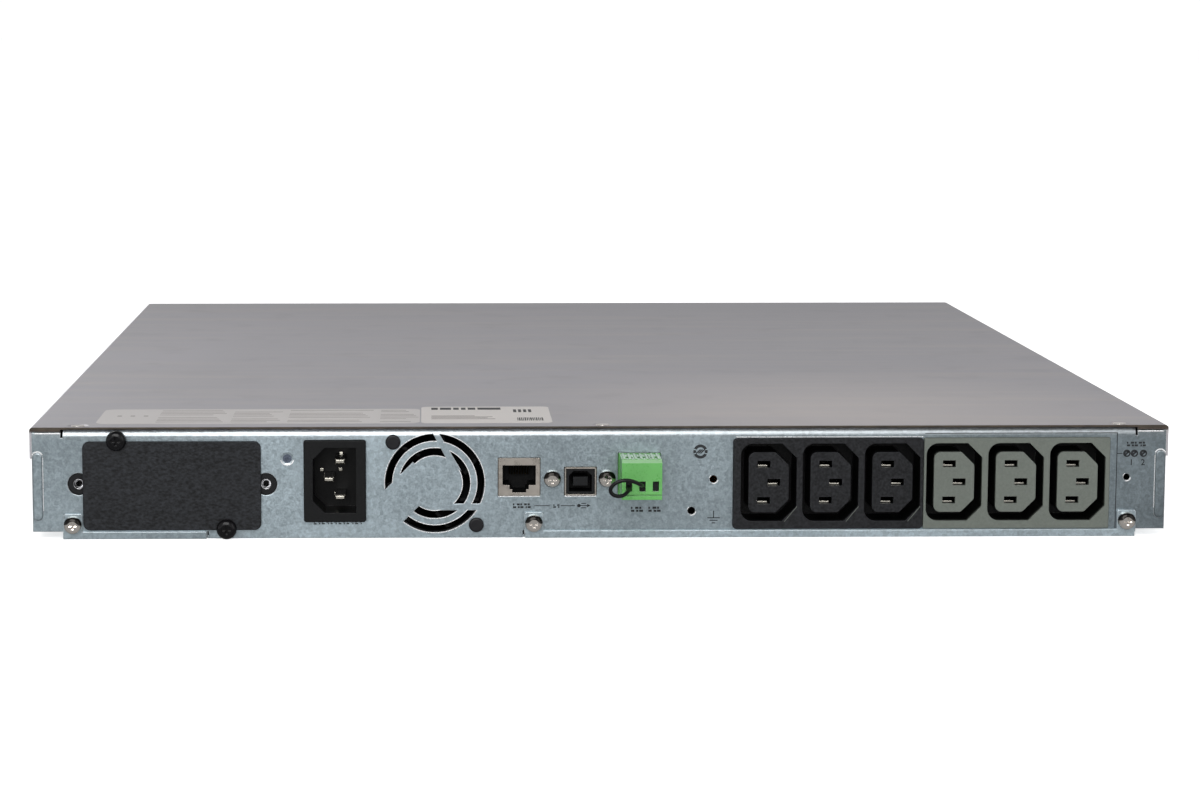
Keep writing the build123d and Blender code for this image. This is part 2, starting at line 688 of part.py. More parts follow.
def make_usb_insert():
    """The insulator: a square well with two cut corners round a central tongue."""
    u0, u1, v0, v1 = USB
    face = REAR_Y + PORT_PROUD - 0.5
    middle = (u0 + u1) / 2
    well = Polygon(
        (middle - 4.4, v0 + 1.4),
        (middle + 4.4, v0 + 1.4),
        (middle + 4.4, v1 - 3.2),
        (middle + 2.6, v1 - 1.4),
        (middle - 2.6, v1 - 1.4),
        (middle - 4.4, v1 - 3.2),
        align=None,
    )
    tongue = rect(middle - 2.8, middle + 2.8, 20.2, 23.6)
    body = rear(rect(u0 + 0.6, u1 - 0.6, v0 + 0.6, v1 - 0.6), face - PORT_DEPTH + 1, face)
    return body - rear(well - tongue, face - 10, face)


# ---------------------------------------------------------------- terminal


def make_terminal_header():
    """The fixed half: an open shroud that the plug pushes into."""
    u0, u1, v0, v1 = PLUG
    back = REAR_Y - HEADER_DEPTH
    outside = rect(u0 - 0.3, u1 + 0.3, v0 - 0.3, v1 + 0.3)
    bore = rect(u0 + 0.9, u1 - 0.9, v0 + 0.9, v1 - 0.9)
    header = rear(outside - bore, back, REAR_Y + 0.8)
    header += rear(outside, back, back + 2)
    for u in POLE_U:
        header -= rear(rect(u - 0.5, u + 0.5, PIN_V - 0.5, PIN_V + 0.5), back, back + 2)
    return header


def make_terminal_pins():
    """Square pins, bent down to the board behind the header."""
    back = REAR_Y - HEADER_DEPTH

    def one(u):
        pin = rear(rect(u - 0.5, u + 0.5, PIN_V - 0.5, PIN_V + 0.5), back - 2.5, REAR_Y - 2)
        return pin + rear(rect(u - 0.5, u + 0.5, COMM_Z + PCB, PIN_V + 0.5), back - 2.5, back - 1.5)

    return pattern(one, [(u,) for u in POLE_U])


def make_terminal_plug():
    """The pull-off half, with wire entries in its face and screw wells on top."""
    u0, u1, v0, v1 = PLUG
    face = REAR_Y + PLUG_OUT
    shoulder = REAR_Y + 1.2
    head = rear(rect(u0, u1, v0, v1), shoulder, face)
    head = chamfer(head.edges().group_by(Axis.Y)[-1].sort_by(Axis.Z)[-1], 1.2)
    nose = rear(rect(u0 + 1.3, u1 - 1.3, v0 + 1.3, v1 - 1.3), REAR_Y - 9, shoulder)
    plug = head + nose
    plug -= rear(rect(u0 + 0.01, u1 - 0.01, v0 + 1.5, v0 + 2.0), face - 0.6, face)
    x0, x1 = WIDTH / 2 - u1, WIDTH / 2 - u0
    plug -= block(x0, x1, face - 3.2, face - 2.4, v1 - 0.5, v1)
    low = (Align.CENTER, Align.CENTER, Align.MIN)
    for u in POLE_U:
        entry = rect(u - 1.2, u + 1.2, ENTRY_V - 1.95, ENTRY_V + 1.95)
        plug -= rear(entry, face - ENTRY_DEPTH, face)
        socket = rect(u - 0.8, u + 0.8, PIN_V - 0.8, PIN_V + 0.8)
        plug -= rear(socket, REAR_Y - 9, REAR_Y - 1)
        well = Cylinder(1.9, WELL_DEPTH, align=low)
        plug -= Pos(*at_rear(u, face - WELL_BACK, v1 - WELL_DEPTH)) * well
    for u in ((POLE_U[0] + POLE_U[1]) / 2, (POLE_U[1] + POLE_U[2]) / 2):
        x = WIDTH / 2 - u
        plug -= block(x - 0.25, x + 0.25, shoulder + 1.5, face - 3.6, v1 - 0.6, v1)
    return plug


def make_terminal_screws():
    """A slotted clamp screw at the bottom of each well."""
    y = REAR_Y + PLUG_OUT - WELL_BACK

    def one(u):
        low = (Align.CENTER, Align.CENTER, Align.MIN)
        screw = Cylinder(1.7, 1.6, align=low) - Pos(0, 0, 1.6) * Box(0.6, 4, 1.2)
        return Pos(*at_rear(u, y, PLUG[3] - WELL_DEPTH)) * screw

    return pattern(one, [(u,) for u in POLE_U])


# The jumper's route: u, distance out from the rear panel, v.
JUMPER_ROUTE = (
    (234.0, 10.05, 22.3),
    (234.0, 15.0, 22.5),
    (233.6, 19.5, 23.1),
    (231.2, 23.0, 25.0),
    (227.2, 24.6, 26.3),
    (223.0, 24.4, 25.2),
    (220.9, 23.8, 22.2),
    (222.6, 23.4, 19.9),
    (226.0, 22.6, 19.6),
    (228.4, 19.6, 21.0),
    (228.9, 15.2, 22.0),
    (228.9, 10.05, 22.3),
)


def route_radii(points):
    """The largest tangent arc that each corner of a route has room for."""
    radii = []
    for a, b, c in zip(points, points[1:], points[2:]):
        run_in, run_out = b - a, c - b
        turn = math.radians(run_in.get_angle(run_out))
        shorter = min(run_in.length, run_out.length)
        radii.append(0.45 * shorter / math.tan(turn / 2))
    return radii


def make_jumper_wire():
    points = [Vector(*at_rear(u, REAR_Y + out, v)) for u, out, v in JUMPER_ROUTE]
    radii = route_radii(points)
    path = FilletPolyline(*points, radius=radii)
    start = Plane(path @ 0, z_dir=path % 0)
    wire = sweep(start * Circle(WIRE / 2), path=path)
    print("jumper_wire: length", round(path.length, 1), "radii", [round(r, 1) for r in radii])
    print("jumper_wire: volume ratio", round(wire.volume / (math.pi * WIRE**2 / 4 * path.length), 3))
    return wire


# ---------------------------------------------------------------- boards


def board_holes(x0, x1, y0, y1, inset, columns, rows):
    """Fixing places in an even grid over a board."""
    xs = [x0 + inset + i * (x1 - x0 - 2 * inset) / (columns - 1) for i in range(columns)]
    ys = [y0 + inset + i * (y1 - y0 - 2 * inset) / (rows - 1) for i in range(rows)]
    return [(x, y) for x in xs for y in ys]


POWER_FIXINGS = board_holes(*POWER_BOARD, 6.0, 3, 2)
LOGIC_FIXINGS = board_holes(*LOGIC_BOARD, 6.0, 2, 3)
COMM_FIXINGS = [(-22.0, 209.0), (37.5, 209.0), (-22.0, 234.0), (20.0, 234.0)]
ALL_FIXINGS = (
    [(x, y, BOARD_Z) for x, y in POWER_FIXINGS + LOGIC_FIXINGS]
    + [(x, y, COMM_Z) for x, y in COMM_FIXINGS]
)


def make_board(x0, x1, y0, y1, z, fixings):
    board = block(x0, x1, y0, y1, z, z + PCB)
    for x, y in fixings:
        board -= Pos(x, y, z + PCB / 2) * Cylinder(1.6, PCB)
    return board


def make_comm_board():
    board = make_board(*COMM_BOARD, COMM_Z, COMM_FIXINGS)
    chips = block(-12, 4, 212, 222, COMM_Z + PCB, COMM_Z + PCB + 2.2)
    chips += block(12, 22, 211, 221, COMM_Z + PCB, COMM_Z + PCB + 1.6)
    return board + chips


def make_power_board():
    board = make_board(*POWER_BOARD, BOARD_Z, POWER_FIXINGS)
    top = BOARD_Z + PCB
    board += block(-80, -64, 188, 196, top, top + 3)
    return board + block(76, 84, 84, 102, top, top + 6)


def make_logic_board():
    board = make_board(*LOGIC_BOARD, BOARD_Z, LOGIC_FIXINGS)
    top = BOARD_Z + PCB
    board += block(146, 166, -60, -40, top, top + 2.4)
    board += block(138, 162, -156, -150, top, top + 8)
    return board + block(117, 123, 84, 102, top, top + 6)


def make_board_standoffs():
    def one(x, y, z):
        pillar = extrude(Plane((x, y, SHEET)) * RegularPolygon(2.9, 6), z - SHEET)
        bore = Cylinder(1.5, 5, align=(Align.CENTER, Align.CENTER, Align.MIN))
        return pillar - Pos(x, y, z - 5) * bore

    return pattern(one, ALL_FIXINGS)


def make_board_screws():
    def one(x, y, z):
        return Pos(x, y, z + PCB) * pan_screw(5.4, 1.9, 2.9, 5.5)

    return pattern(one, ALL_FIXINGS)


def make_heatsinks():
    """Finned extrusions that stand on the boards."""

    def one(x, y, z, length, fins):
        sink = block(x, x + length, y, y + 3, z, z + 27)
        for i in range(fins):
            fin_x = x + i * (length - 1.4) / (fins - 1)
            sink += block(fin_x, fin_x + 1.4, y + 3, y + 13, z, z + 27)
        return sink

    top = BOARD_Z + PCB
    return pattern(one, ((-186.0, 100.0, top, 104.0, 14), (-20.0, 122.0, top, 84.0, 12)))


def make_transformers():
    """Two cored windings for the inverter and one for the charger."""

    def one(x, y, z, w, d, h):
        window = 0.24 * w
        core = block(x, x + w, y, y + d, z, z + h)
        core -= block(x + 0.16 * w, x + 0.16 * w + window, y, y + d, z + 0.2 * h, z + 0.8 * h)
        core -= block(x + 0.6 * w, x + 0.6 * w + window, y, y + d, z + 0.2 * h, z + 0.8 * h)
        winding = block(x + 0.16 * w, x + 0.84 * w, y - 4, y + d + 4, z + 0.21 * h, z + 0.79 * h)
        return core + winding

    top = BOARD_Z + PCB
    places = (
        (-184.0, 134.0, top, 46.0, 26.0, 29.0),
        (-126.0, 134.0, top, 46.0, 26.0, 29.0),
        (140.0, -20.0, top, 42.0, 24.0, 28.0),
    )
    return pattern(one, places)


def make_chokes():
    """Toroids wound on a ring."""

    def one(x, y):
        ring = Cylinder(14, 13, align=(Align.CENTER, Align.CENTER, Align.MIN))
        ring -= Cylinder(5.5, 13, align=(Align.CENTER, Align.CENTER, Align.MIN))
        ring = fillet(ring.edges(), 2.4)
        return Pos(x, y, BOARD_Z + PCB) * ring

    return pattern(one, ((-52.0, 178.0), (-52.0, 142.0), (-12.0, 168.0)))


def make_capacitors():
    def one(x, y):
        can = Cylinder(11, 27, align=(Align.CENTER, Align.CENTER, Align.MIN))
        can = fillet(can.edges().group_by(Axis.Z)[-1], 1.2)
        return Pos(x, y, BOARD_Z + PCB) * can

    row = [(22 + 24 * i, 166.0) for i in range(3)]
    return pattern(one, row + [(160.0, 60.0), (186.0, 60.0)])


def make_relays():
    def one(x):
        top = BOARD_Z + PCB
        case = block(x, x + 19, 186, 201.5, top + 0.2, top + 15.8)
        return fillet(case.edges().filter_by(Axis.Z), 0.8)

    return pattern(one, [(-180.0 + 24 * i,) for i in range(4)])


def make_emi_filter():
    """A screened filter can behind the inlet."""
    can = block(99, 125.5, 164, 214, 1.2, 30)
    can = fillet(can.edges().filter_by(Axis.Y), 1.5)
    return can + block(102, 123, 214, 217, 5, 27)


def make_ac_leads():
    """Three leads from the inlet's tabs to the filter."""

    def one(u, v, x_end):
        x = WIDTH / 2 - u
        points = [
            Vector(x, REAR_Y - 28, v),
            Vector(x, REAR_Y - 31, v),
            Vector(x_end, REAR_Y - 34.5, v - 0.8),
            Vector(x_end, REAR_Y - 37.5, v - 0.8),
        ]
        path = FilletPolyline(*points, radius=route_radii(points))
        return sweep(Plane(path @ 0, z_dir=path % 0) * Circle(1.1), path=path)

    ends = (108.0, 102.6, 104.6)
    return pattern(one, [(u, v, x_end) for (u, v), x_end in zip(INLET_PINS, ends)])


def make_ribbon_cables():
    """Flat cables from the display to the logic board and on to the power board."""
    top = BOARD_Z + PCB
    first = FilletPolyline(
        (DISPLAY_Y + PCB, 17.0),
        (-214.0, 17.0),
        (-190.0, 24.0),
        (-153.0, 24.0),
        (-153.0, top + 8),
        radius=4.0,
    )
    display = across(trace(first, 0.8), 140, 160)
    second = FilletPolyline(
        (80.0, top + 6),
        (80.0, 26.0),
        (120.0, 26.0),
        (120.0, top + 6),
        radius=4.0,
    )
    link = front(trace(second, 0.8), 86, 100)
    return Compound(children=[display, link])


# ---------------------------------------------------------------- batteries


def make_battery_tray():
    x0, x1 = TRAY_X
    y0, y1 = TRAY_Y
    z = TRAY_FLOOR
    t = TRAY_T
    tray = block(x0, x1, y0, y1, z, z + t)
    tray += block(x0, x0 + t, y0, y1, z, 30)
    tray += block(x1 - t, x1, y0, y1, z, 30)
    tray += block(x0, x1, y0, y0 + t, z, 37)
    tray += block(x0, x1, y1 - t, y1, z, 34)
    tray -= block(-22, 22, y1 - 2, y1 + 1, 12, 30)
    for x in range(-180, 90, 26):
        tray -= front(Pos(x, 31.5) * SlotOverall(14, 3.0), y0 - 1, y0 + 2)
    return tray


def battery_corners():
    return [(x, BATTERY_Y0 + BATTERY_PITCH * i) for i in range(3) for x in BATTERY_X]


def make_battery_blocks():
    """Six sealed six-volt blocks that lie on their sides."""
    w, d, h = BATTERY

    def one(x, y):
        case = block(x, x + w, y, y + d, BATTERY_Z, BATTERY_Z + h)
        case = fillet(case.edges().filter_by(Axis.Y), 2.0)
        seam = block(x - 1, x + w + 1, y + d - 9, y + d - 8.4, BATTERY_Z - 1, BATTERY_Z + h + 1)
        z0, z1 = BATTERY_Z + 0.5, BATTERY_Z + h - 0.5
        core = block(x + 0.5, x + w - 0.5, y + d - 10, y + d - 7, z0, z1)
        return case - (seam - core)

    return pattern(one, battery_corners())


def make_battery_links():
    """The straps that join the blocks in series, and the two output bars."""
    w, d, h = BATTERY
    half = STRAP_T / 2
    middle = BATTERY_Z + h / 2
    over = BATTERY_Z + h + 1.2
    left, right = BATTERY_X[0] + 8, BATTERY_X[1] + w - 8
    inner = (BATTERY_X[0] + w - 8, BATTERY_X[1] + 8)
    faces = [BATTERY_Y0 + BATTERY_PITCH * i + d for i in range(3)]
    out_y = faces[2] + 6
    bar_z = (middle - STRAP_W / 2, middle + STRAP_W / 2)
    back = TRAY_Y[1] - TRAY_T

    def wide(line, x):
        return across(trace(line, STRAP_T), x - STRAP_W / 2, x + STRAP_W / 2)

    def over_top(x, y_from, y_to):
        """A strap from one row's terminal over the next blocks to theirs."""
        line = FilletPolyline(
            (y_from, middle),
            (y_from + 3, middle),
            (y_from + 3, over),
            (y_to + 3, over),
            (y_to + 3, middle),
            (y_to, middle),
            radius=1.0,
        )
        return wide(line, x)

    def lug(x):
        return block(x - 3, x + 3, out_y - half, back, *bar_z)

    straps = []
    for y in faces:
        bar = block(inner[0] - 3, inner[1] + 3, y + 3, y + 3 + STRAP_T, *bar_z)
        for x in inner:
            bar += block(x - 3, x + 3, y, y + 3 + STRAP_T, middle - half, middle + half)
        straps.append(bar)
    straps.append(over_top(left, faces[0], faces[1]))
    straps.append(over_top(right, faces[1], faces[2]))

    beside = right - 12
    y = faces[0]
    line = FilletPolyline(
        (y + 1, middle),
        (y + 3, middle),
        (y + 3, over),
        (out_y, over),
        (out_y, bar_z[0]),
        radius=0.9,
    )
    first = block(beside - 3, right + 3, y, y + 2, middle - half, middle + half)
    first += wide(line, beside)
    first += block(BLADE_X - 3, beside + 3, out_y - half, out_y + half, *bar_z)
    straps.append(first + lug(BLADE_X))

    last = block(left - 3, left + 3, faces[2], out_y + half, middle - half, middle + half)
    last += block(left - 3, -BLADE_X + 3, out_y - half, out_y + half, *bar_z)
    straps.append(last + lug(-BLADE_X))
    return Compound(children=straps)


def make_tray_connector():
    """A two-blade connector that pushes into the socket on the power board."""
    y = TRAY_Y[1]
    body = block(-21, 21, y - TRAY_T, y + 4.5, 12.6, 29.4)
    body += block(-24, 24, y, y + 1.6, 11, 31)
    for x in (-BLADE_X, BLADE_X):
        body += block(x - 4, x + 4, y + 4, y + 13, 20.5, 21.5)
    return body


def make_battery_socket():
    y = TRAY_Y[1] + 5.5
    top = BOARD_Z + PCB
    body = block(-24, 24, POWER_BOARD[2] + 0.2, POWER_BOARD[2] + 14, top, 31)
    body += block(-24, 24, y, POWER_BOARD[2] + 1, 12, 31)
    for x in (-BLADE_X, BLADE_X):
        body -= block(x - 4.8, x + 4.8, y - 1, y + 10, 19.6, 22.4)
    return body


def make_tray_handle():
    """A folded pull handle on the front of the tray."""
    foot_y = TRAY_Y[0] - HANDLE_T / 2
    grip_y = TRAY_Y[0] - 11
    middle = (TRAY_X[0] + TRAY_X[1]) / 2
    line = FilletPolyline(
        (middle - 62, foot_y),
        (middle - 48, foot_y),
        (middle - 42, grip_y),
        (middle + 42, grip_y),
        (middle + 48, foot_y),
        (middle + 62, foot_y),
        radius=2.5,
    )
    strap = extrude(Plane.XY.offset(12) * trace(line, HANDLE_T), 12)
    for x in (middle - 56, middle + 56):
        strap += rod_y(x, 18, 5.2, TRAY_Y[0] - HANDLE_T - 1.6, TRAY_Y[0] - HANDLE_T)
    return strap


# ---------------------------------------------------------------- front


def bezel_shell(x0, x1):
    """A moulded front, open at the back."""
    z0, z1 = BEZEL_Z
    rear_y = CASE_FRONT_Y - 0.1
    shell = block(x0, x1, FRONT_Y, rear_y, z0, z1)
    shell = fillet(shell.edges().filter_by(Axis.Y), 1.6)
    shell = fillet(shell.edges().group_by(Axis.Y)[0], 1.2)
    w = BEZEL_WALL
    return shell - block(x0 + w, x1 - w, FRONT_Y + BEZEL_FACE, rear_y, z0 + w, z1 - w)


def make_control_bezel():
    bezel = bezel_shell(BEZEL_SPLIT + BEZEL_GAP, WALL_X)
    inside = FRONT_Y + BEZEL_FACE
    bezel -= front(rect(*LCD, 1.0), FRONT_Y, inside)
    rebate = rect(LCD[0] - 2, LCD[1] + 2, LCD[2] - 2, LCD[3] + 2, 1.5)
    bezel -= front(rebate, FRONT_Y, FRONT_Y + 1.0)
    for x, z in NAV_BUTTONS.values():
        hole = Pos(x, z) * RectangleRounded(NAV_SIZE[0] + 0.8, NAV_SIZE[1] + 0.8, 1.8)
        bezel -= front(hole, FRONT_Y, inside)
    bezel -= front(disc(*POWER_BUTTON, POWER_BUTTON_D + 0.8), FRONT_Y, inside)
    for x, z in status_light_places():
        bezel -= front(disc(x, z, 2.6), FRONT_Y, inside)
    return bezel


def status_light_places():
    return [(107.6, 12.0 + 6.0 * i) for i in range(4)]


def make_status_lights():
    """Clear light pipes between the board and the bezel's face."""

    def one(x, z):
        return rod_y(x, z, 2.4, FRONT_Y + 0.2, DISPLAY_Y - 0.1)

    return pattern(one, status_light_places())


def make_lcd_window():
    pane = rect(LCD[0] - 1.8, LCD[1] + 1.8, LCD[2] - 1.8, LCD[3] + 1.8, 1.3)
    return front(pane, FRONT_Y + 0.1, FRONT_Y + 1.0)


def make_lcd_module():
    """The display glass in its bent metal frame."""
    x0, x1, z0, z1 = LCD
    inside = FRONT_Y + BEZEL_FACE
    outline = rect(x0 - 2.5, x1 + 2.5, z0 - 2.2, z1 + 2.2)
    frame = front(outline, inside + 0.1, DISPLAY_Y - 0.1)
    return frame - front(rect(x0 + 1, x1 - 1, z0 + 1, z1 - 1), inside, inside + 1.0)


def make_display_board():
    board = front(rect(105, 214.5, 4, 38, 1.0), DISPLAY_Y, DISPLAY_Y + PCB)
    for x, z in list(NAV_BUTTONS.values()) + [POWER_BUTTON]:
        board += front(rect(x - 3, x + 3, z - 3, z + 3), DISPLAY_Y - 3.0, DISPLAY_Y)
    return board


def make_button(x, z, face, flange):
    """A cap that shows through the bezel, with a wider flange that keeps it in."""
    inside = FRONT_Y + BEZEL_FACE
    cap = front(Pos(x, z) * face, FRONT_Y - BUTTON_PROUD, inside + 0.2)
    cap = fillet(cap.edges().group_by(Axis.Y)[0], 0.5)
    return cap + front(Pos(x, z) * flange, inside + 0.1, inside + 1.3)


def make_nav_button(name):
    x, z = NAV_BUTTONS[name]
    w, h = NAV_SIZE
    return make_button(x, z, RectangleRounded(w, h, 1.4), Rectangle(w + 2, h + 2))


def make_power_button():
    radius = POWER_BUTTON_D / 2
    return make_button(*POWER_BUTTON, Circle(radius), Circle(radius + 1.4))


def make_battery_cover():
    """The pull-off front of the battery bay, with air slots and two finger grips."""
    x0, x1 = -WALL_X, BEZEL_SPLIT
    cover = bezel_shell(x0, x1)
    slots = []
    for i in range(29):
        x = x0 + 34 + i * 9.0
        slots.append(Pos(x, 21.0) * SlotOverall(24.0, 3.6, rotation=90))
    cover -= front(Sketch() + slots, FRONT_Y - 1, FRONT_Y + BEZEL_FACE + 1)
    for x in (x0 + 14, x1 - 14):
        grip = Pos(x, 21.0) * SlotOverall(22.0, 7.0, rotation=90)
        cover -= front(grip, FRONT_Y - 1, FRONT_Y + BEZEL_FACE + 1)
    return cover


def build():
    """Every node by name."""
    nodes = {
        "base_pan": make_base_pan(),
        "top_cover": make_top_cover(),
        "rear_panel": make_rear_panel(),
        "divider_bracket": make_divider_bracket(),
        "chassis_screws": make_chassis_screws(),
        "port_screws": make_port_screws(),
        "cover_screws": make_cover_screws(),
        "rating_labels": make_rating_labels(),
        "card_slot_cover": make_card_slot_cover(),
        "card_cover_screws": make_card_cover_screws(),
        "card_cage": make_card_cage(),
        "card_inserts": make_card_inserts(),
        "inlet_housing": make_inlet_housing(),
        "inlet_pins": make_inlet_pins(),
        "outlet_block_black": make_outlet_block(*BLACK_BLOCK_U, 0),
        "outlet_block_grey": make_outlet_block(*GREY_BLOCK_U, 3),
        "outlet_contacts": make_outlet_contacts(),
        "outlet_board": make_outlet_board(),
        "fan_frame": make_fan_frame(),
        "fan_rotor": make_fan_rotor(),
        "fan_rivets": make_fan_rivets(),
        "rj45_shell": make_rj45_shell(),
        "rj45_insert": make_rj45_insert(),
        "rj45_contacts": make_rj45_contacts(),
        "usb_shell": make_usb_shell(),
        "usb_insert": make_usb_insert(),
        "terminal_header": make_terminal_header(),
        "terminal_pins": make_terminal_pins(),
        "terminal_plug": make_terminal_plug(),
        "terminal_screws": make_terminal_screws(),
        "jumper_wire": make_jumper_wire(),
        "comm_board": make_comm_board(),
        "power_board": make_power_board(),
        "logic_board": make_logic_board(),
        "board_standoffs": make_board_standoffs(),
        "board_screws": make_board_screws(),
        "heatsinks": make_heatsinks(),
        "transformers": make_transformers(),
        "chokes": make_chokes(),
        "capacitors": make_capacitors(),
        "relays": make_relays(),
        "emi_filter": make_emi_filter(),
        "ac_leads": make_ac_leads(),
        "ribbon_cables": make_ribbon_cables(),
        "battery_tray": make_battery_tray(),
        "battery_blocks": make_battery_blocks(),
        "battery_links": make_battery_links(),
        "tray_connector": make_tray_connector(),
        "tray_handle": make_tray_handle(),
        "battery_socket": make_battery_socket(),
        "battery_cover": make_battery_cover(),
        "control_bezel": make_control_bezel(),
        "lcd_window": make_lcd_window(),
        "lcd_module": make_lcd_module(),
        "display_board": make_display_board(),
        "status_lights": make_status_lights(),
        "power_button": make_power_button(),
    }
    for name in NAV_BUTTONS:
        nodes[name] = make_nav_button(name)
    return nodes


os.makedirs("parts", exist_ok=True)
for node_name, node in build().items():
    export_step(node, f"parts/{node_name}.step")
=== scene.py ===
import json
import math

import bmesh
import bpy
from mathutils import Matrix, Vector


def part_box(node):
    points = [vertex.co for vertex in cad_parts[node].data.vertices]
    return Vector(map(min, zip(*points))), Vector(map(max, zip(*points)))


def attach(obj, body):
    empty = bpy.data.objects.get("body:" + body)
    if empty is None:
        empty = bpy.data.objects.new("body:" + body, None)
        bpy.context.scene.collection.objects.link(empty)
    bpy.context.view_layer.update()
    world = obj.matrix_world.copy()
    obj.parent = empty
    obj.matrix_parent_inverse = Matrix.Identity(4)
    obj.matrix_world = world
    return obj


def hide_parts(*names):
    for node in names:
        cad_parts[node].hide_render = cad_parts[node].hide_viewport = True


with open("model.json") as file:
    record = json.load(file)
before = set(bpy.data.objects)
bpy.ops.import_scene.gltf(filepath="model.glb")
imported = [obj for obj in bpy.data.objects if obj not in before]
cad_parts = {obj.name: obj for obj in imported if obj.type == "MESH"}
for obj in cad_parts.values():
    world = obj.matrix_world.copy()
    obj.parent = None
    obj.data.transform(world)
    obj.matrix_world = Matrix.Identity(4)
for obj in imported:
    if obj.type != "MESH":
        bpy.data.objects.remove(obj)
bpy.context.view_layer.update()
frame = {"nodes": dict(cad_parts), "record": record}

# A one-unit rackmount power supply seen from behind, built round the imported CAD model.
# Rear features are placed by u, the distance in millimetres from the case's left edge as
# seen from behind, v, the height above the base, and how far they stand off the panel.

MM = 0.001
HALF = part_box("top_cover")[1].x
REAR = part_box("top_cover")[1].y
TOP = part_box("top_cover")[1].z
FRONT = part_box("battery_cover")[0].y


def at(u, v, out=0.0):
    """The point at u, v and out on the rear, in the row frame."""
    return Vector((HALF - u * MM, REAR + out * MM, v * MM))


def middle(node):
    """The centre of a CAD node's box."""
    low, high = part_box(node)
    return (low + high) / 2


def linked(name, data):
    """A new object in the scene."""
    made = bpy.data.objects.new(name, data)
    bpy.context.scene.collection.objects.link(made)
    return made


def aimed(holder, place, target):
    """Puts a camera or a light at a place, looking at a target."""
    holder.location = place
    way = Vector(target) - Vector(place)
    holder.rotation_euler = way.to_track_quat("-Z", "Y").to_euler()
    return holder


# Camera and jumper

CAMERA_PLACE = (0.0667, 1.3840, 0.2003)
CAMERA_TARGET = (0.0464, 0.2545, 0.0537)
LENS = 89.18
SHIFT_X = 0.1

# The jumper wire's thickness and length, and points of its route: u, v, out.
JUMPER_WIRE = 1.5
JUMPER_ROUTE = (
    (234.0, 22.3, 10.05), (234.0, 22.5, 15.0), (233.6, 23.1, 19.5),
    (231.2, 25.0, 23.0), (227.2, 26.3, 24.6), (223.0, 25.2, 24.4),
    (220.9, 22.2, 23.8), (222.6, 19.9, 23.4), (226.0, 19.6, 22.6),
    (228.4, 21.0, 19.6), (228.9, 22.0, 15.2), (228.9, 22.3, 10.05),
)


def add_camera():
    """The camera behind the case, a little above it, as the photographer stood."""
    data = bpy.data.cameras.new("camera")
    data.lens = LENS
    data.sensor_width = 36.0
    data.shift_x = SHIFT_X
    data.clip_start = 0.01
    data.clip_end = 200.0
    camera = linked("camera", data)
    bpy.context.scene.camera = aimed(camera, CAMERA_PLACE, CAMERA_TARGET)


def add_jumper(material):
    """The short black wire that links two poles of the green plug."""
    data = bpy.data.curves.new("jumper", "CURVE")
    data.dimensions = "3D"
    data.bevel_depth = JUMPER_WIRE / 2 * MM
    data.bevel_resolution = 6
    data.use_fill_caps = True
    line = data.splines.new("NURBS")
    line.points.add(len(JUMPER_ROUTE) - 1)
    for point, place in zip(line.points, JUMPER_ROUTE):
        point.co = (*at(*place), 1.0)
    line.order_u = 3
    line.use_endpoint_u = True
    line.resolution_u = 12
    data.materials.append(material)
    wire = linked("jumper", data)
    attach(wire, "terminal_plug")
    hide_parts("jumper_wire")


# Light and floor

SOFTBOXES = (
    # name, place, target, width, height, watts
    ("key", (0.35, 2.05, 1.35), (0.08, 0.25, 0.03), 1.6, 1.6, 30.0),
    ("fill", (-1.7, 1.8, 0.9), (0.0, 0.2, 0.0), 0.7, 1.2, 3.5),
    ("spark", (0.3, 2.3, 0.42), (0.08, 0.25, 0.02), 0.4, 0.3, 2.6),
    ("front", (1.4, -2.2, 1.6), (0.0, -0.1, 0.0), 1.4, 1.2, 12.0),
)
# Brightness of the surroundings by the sine of the height above the horizon, how much of
# it is left towards the front and towards the rear, and how much bluer than grey it is.
SKY = (
    (-1.0, 0.30), (-0.02, 0.30), (0.0, 0.98), (0.06, 0.95),
    (0.14, 0.55), (0.7, 0.50), (0.88, 0.15), (1.0, 0.12),
)
SKY_FRONT = 0.85
SKY_REAR = 1.15
SKY_BLUE = 1.01
FLOOR_REACH = 40.0
FLOOR_GLOW = 0.66
# The screen round the floor: its radius, the heights of its edges, its sides and glow.
BACKDROP_R = 24.0
BACKDROP_Z = (-0.2, 15.0)
BACKDROP_SIDES = 48
BACKDROP_GLOW = 1.05


def set_stops(node, stops):
    """Gives a colour ramp node its stops of position and colour."""
    while len(node.color_ramp.elements) < len(stops):
        node.color_ramp.elements.new(0.5)
    for stop, (position, colour) in zip(node.color_ramp.elements, stops):
        stop.position = position
        stop.color = colour


def add_sky():
    """Soft surroundings, brightest at the horizon, for the metal to reflect."""
    world = bpy.data.worlds.new("studio")
    bpy.context.scene.world = world
    world.use_nodes = True
    tree = world.node_tree
    back = tree.nodes["Background"]
    coords = tree.nodes.new("ShaderNodeTexCoord")
    split = tree.nodes.new("ShaderNodeSeparateXYZ")
    ramp = tree.nodes.new("ShaderNodeValToRGB")
    stops = [((sine + 1.0) / 2.0, (level, level, level * SKY_BLUE, 1.0)) for sine, level in SKY]
    set_stops(ramp, stops)
    tree.links.new(coords.outputs["Generated"], split.inputs[0])
    height = tree.nodes.new("ShaderNodeMapRange")
    height.inputs["From Min"].default_value = -1.0
    tree.links.new(split.outputs["Z"], height.inputs["Value"])
    tree.links.new(height.outputs["Result"], ramp.inputs["Fac"])
    drift = tree.nodes.new("ShaderNodeMapRange")
    limits = (("From Min", -1.0), ("From Max", 1.0), ("To Min", SKY_FRONT), ("To Max", SKY_REAR))
    for socket, value in limits:
        drift.inputs[socket].default_value = value
    tree.links.new(split.outputs["Y"], drift.inputs["Value"])
    tree.links.new(drift.outputs["Result"], back.inputs["Strength"])
    tree.links.new(ramp.outputs["Color"], back.inputs["Color"])


